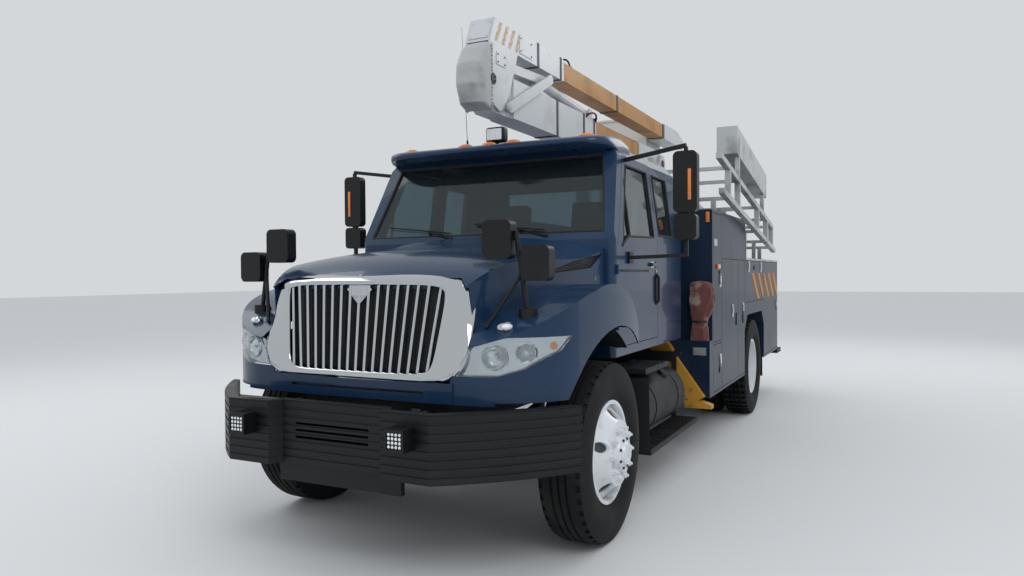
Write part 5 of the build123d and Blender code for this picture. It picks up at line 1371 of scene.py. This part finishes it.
# columns: name, x ends, y ends, top
GRATINGS = [("low_step", (0.955, 1.130), (0.815, 2.130), 0.360), ("high_step", (0.835, 1.095), (0.815, 1.370), 0.905)]
for step, xs, ys, top in GRATINGS:
    for side, name in SIDES:
        grating = bmesh.new()
        rows = int((xs[1] - xs[0]) / STRIP_PITCH)
        for k in range(rows + 1):
            x = xs[0] + (xs[1] - xs[0]) * k / rows
            block(grating, place(side * (x - 0.0015), ys[0], top + 0.0002),
                  place(side * (x + 0.0015), ys[1], top + 0.007))
        ties = int((ys[1] - ys[0]) / TIE_PITCH)
        for k in range(ties + 1):
            y = ys[0] + (ys[1] - ys[0]) * k / ties
            bar(grating, place(side * xs[0], y, top + 0.004), place(side * xs[1], y, top + 0.004), 0.003, 6)
        piece(f"{step}_grating_{name}", grating, "chassis", dark_steel, smooth=False)

# %% [markdown]
# Each fuel tank has a filler cap on the upper outer side of its drum: a short round neck and a lid on it,
# made as two bars on one slanting line.

# %% Filler caps
for side, name in SIDES:
    filler = bmesh.new()
    out = Vector((side * 0.55, 0, 0.84)).normalized()
    rim = place(side * 0.888, 1.55, 0.612) + out * 0.204
    bar(filler, rim, rim + out * 0.018, 0.042, 26)
    bar(filler, rim + out * 0.018, rim + out * 0.030, 0.048, 12, 0.044)
    piece(f"filler_cap_{name}", filler, "chassis", dark_steel)

# %% [markdown]
# Inside each fender a black liner keeps stones and spray off the engine. It is a sheet that is spun from one
# edge round the wheel's axle for about a quarter turn, and it tilts with the hood.

# %% Wheel arch liners
LINER_AT = (0.020, 0.560)
LINER_R, LINER_WIDE = 0.690, 0.46
LINER_START, LINER_SPAN = math.radians(-40), math.radians(88)
for side, name in SIDES:
    liner = bmesh.new()
    middle = place(side * 0.62, *LINER_AT)
    start = middle + Matrix.Rotation(LINER_START, 3, "X") @ Vector((0, 0, LINER_R))
    verts = [liner.verts.new(start), liner.verts.new(start + Vector((side * LINER_WIDE, 0, 0)))]
    edge = liner.edges.new(verts)
    bmesh.ops.spin(liner, geom=verts + [edge], cent=middle, axis=(1, 0, 0), angle=LINER_SPAN, steps=28,
                   use_merge=False, use_duplicate=False)
    bmesh.ops.solidify(liner, geom=liner.faces[:], thickness=0.003)
    piece(f"arch_liner_{name}", liner, "hood", black_moulding)

# %% [markdown]
# The camera stands where the photographer stood, by the truck's front corner at eye height. Its place
# comes from matching known points of the truck, and its lens is 26.9 mm on a 36 mm wide sensor.

# %% Camera
CAMERA_AT = place(2.627, -4.222, 1.561)
YAW, PITCH, ROLL = (math.radians(a) for a in (26.80, -1.00, -0.41))
right = Vector((math.cos(YAW), math.sin(YAW), 0))
ahead = Vector((-math.sin(YAW), math.cos(YAW), 0))
up = Vector((0, 0, 1))
ahead, up = ahead * math.cos(PITCH) + up * math.sin(PITCH), up * math.cos(PITCH) - ahead * math.sin(PITCH)
right, up = right * math.cos(ROLL) + up * math.sin(ROLL), up * math.cos(ROLL) - right * math.sin(ROLL)
lens = bpy.data.cameras.new("photo_camera")
lens.lens = 26.902
lens.sensor_width = 36
camera = bpy.data.objects.new("photo_camera", lens)
camera.matrix_world = Matrix.Translation(CAMERA_AT) @ Matrix((right, up, -ahead)).transposed().to_4x4()
bpy.context.scene.collection.objects.link(camera)
bpy.context.scene.camera = camera
print("camera at", [round(v, 3) for v in CAMERA_AT])

# %% [markdown]
# A wide pale floor gives a plain ground. It ends far behind the truck in the world's pale grey.

# %% Floor
FLOOR_HALF = 60
floor_bm = bmesh.new()
bmesh.ops.create_grid(floor_bm, x_segments=1, y_segments=1, size=FLOOR_HALF)
floor_mesh = bpy.data.meshes.new("studio_floor")
floor_bm.to_mesh(floor_mesh)
floor_bm.free()
floor = bpy.data.objects.new("studio_floor", floor_mesh)
floor_mesh.materials.append(finish("studio_floor_paint", "#D8DADC", 0.9, Specular_IOR_Level=0.1))
bpy.context.scene.collection.objects.link(floor)
print("floor", 2 * FLOOR_HALF, "m across")

# %% [markdown]
# The day was overcast, so nearly all light comes softly from above. The world is a pale gradient that is
# brighter overhead. Seen by the camera, or in metal and glass, it is one even pale grey.

# %% World
world = bpy.data.worlds.new("soft_studio")
bpy.context.scene.world = world
world.use_nodes = True
tree = world.node_tree
tree.nodes.clear()
way = add(tree, "ShaderNodeTexCoord")
split = add(tree, "ShaderNodeSeparateXYZ", {"Vector": way.outputs["Generated"]})
height = add(tree, "ShaderNodeMapRange", {"Value": split.outputs["Z"], "From Min": -0.1, "From Max": 1.0})
sky = add(tree, "ShaderNodeValToRGB", {"Fac": height.outputs["Result"]})
sky.color_ramp.elements[0].color = linear("#AEB3B8")
sky.color_ramp.elements[1].color = linear("#F4F6F8")
sky_light = add(tree, "ShaderNodeBackground", {"Color": sky.outputs["Color"], "Strength": 1.0})
seen = add(tree, "ShaderNodeBackground", {"Color": linear("#D4D7DA"), "Strength": 1.0})
ray = add(tree, "ShaderNodeLightPath")
mirrored = add(tree, "ShaderNodeMath", {0: ray.outputs["Is Glossy Ray"], 1: ray.outputs["Is Transmission Ray"]},
               operation="MAXIMUM")
showing = add(tree, "ShaderNodeMath", {0: ray.outputs["Is Camera Ray"], 1: mirrored.outputs[0]}, operation="MAXIMUM")
pick = add(tree, "ShaderNodeMixShader", {0: showing.outputs[0], 1: sky_light.outputs[0], 2: seen.outputs[0]})
add(tree, "ShaderNodeOutputWorld", {"Surface": pick.outputs[0]})
print("world nodes", len(tree.nodes))

# %% [markdown]
# Three big soft lamps give the paint its long highlights: one high on the camera's side, one across from it
# and one behind.

# %% Lamps


def soft_lamp(name, spot, target, size, watts):
    """A square-cornered area lamp that looks at a target."""
    lamp = bpy.data.lights.new(name, "AREA")
    lamp.shape = "RECTANGLE"
    lamp.size, lamp.size_y = size
    lamp.energy = watts
    holder = bpy.data.objects.new(name, lamp)
    holder.matrix_world = Matrix.Translation(spot) @ (target - spot).to_track_quat("-Z", "Y").to_matrix().to_4x4()
    bpy.context.scene.collection.objects.link(holder)


soft_lamp("key_lamp", place(7, -6, 9), place(0.5, 0.5, 1.2), (6, 5), 340)
soft_lamp("fill_lamp", place(-8, 0, 8), place(0, 2, 1.5), (7, 5), 200)
soft_lamp("rear_lamp", place(4, 12, 8), place(0, 3, 1.5), (7, 4), 200)
print("lamps", len(bpy.data.lights))

# %% [markdown]
# The colour handling is the plain standard one.

# %% Finish
bpy.context.scene.view_settings.view_transform = "Standard"
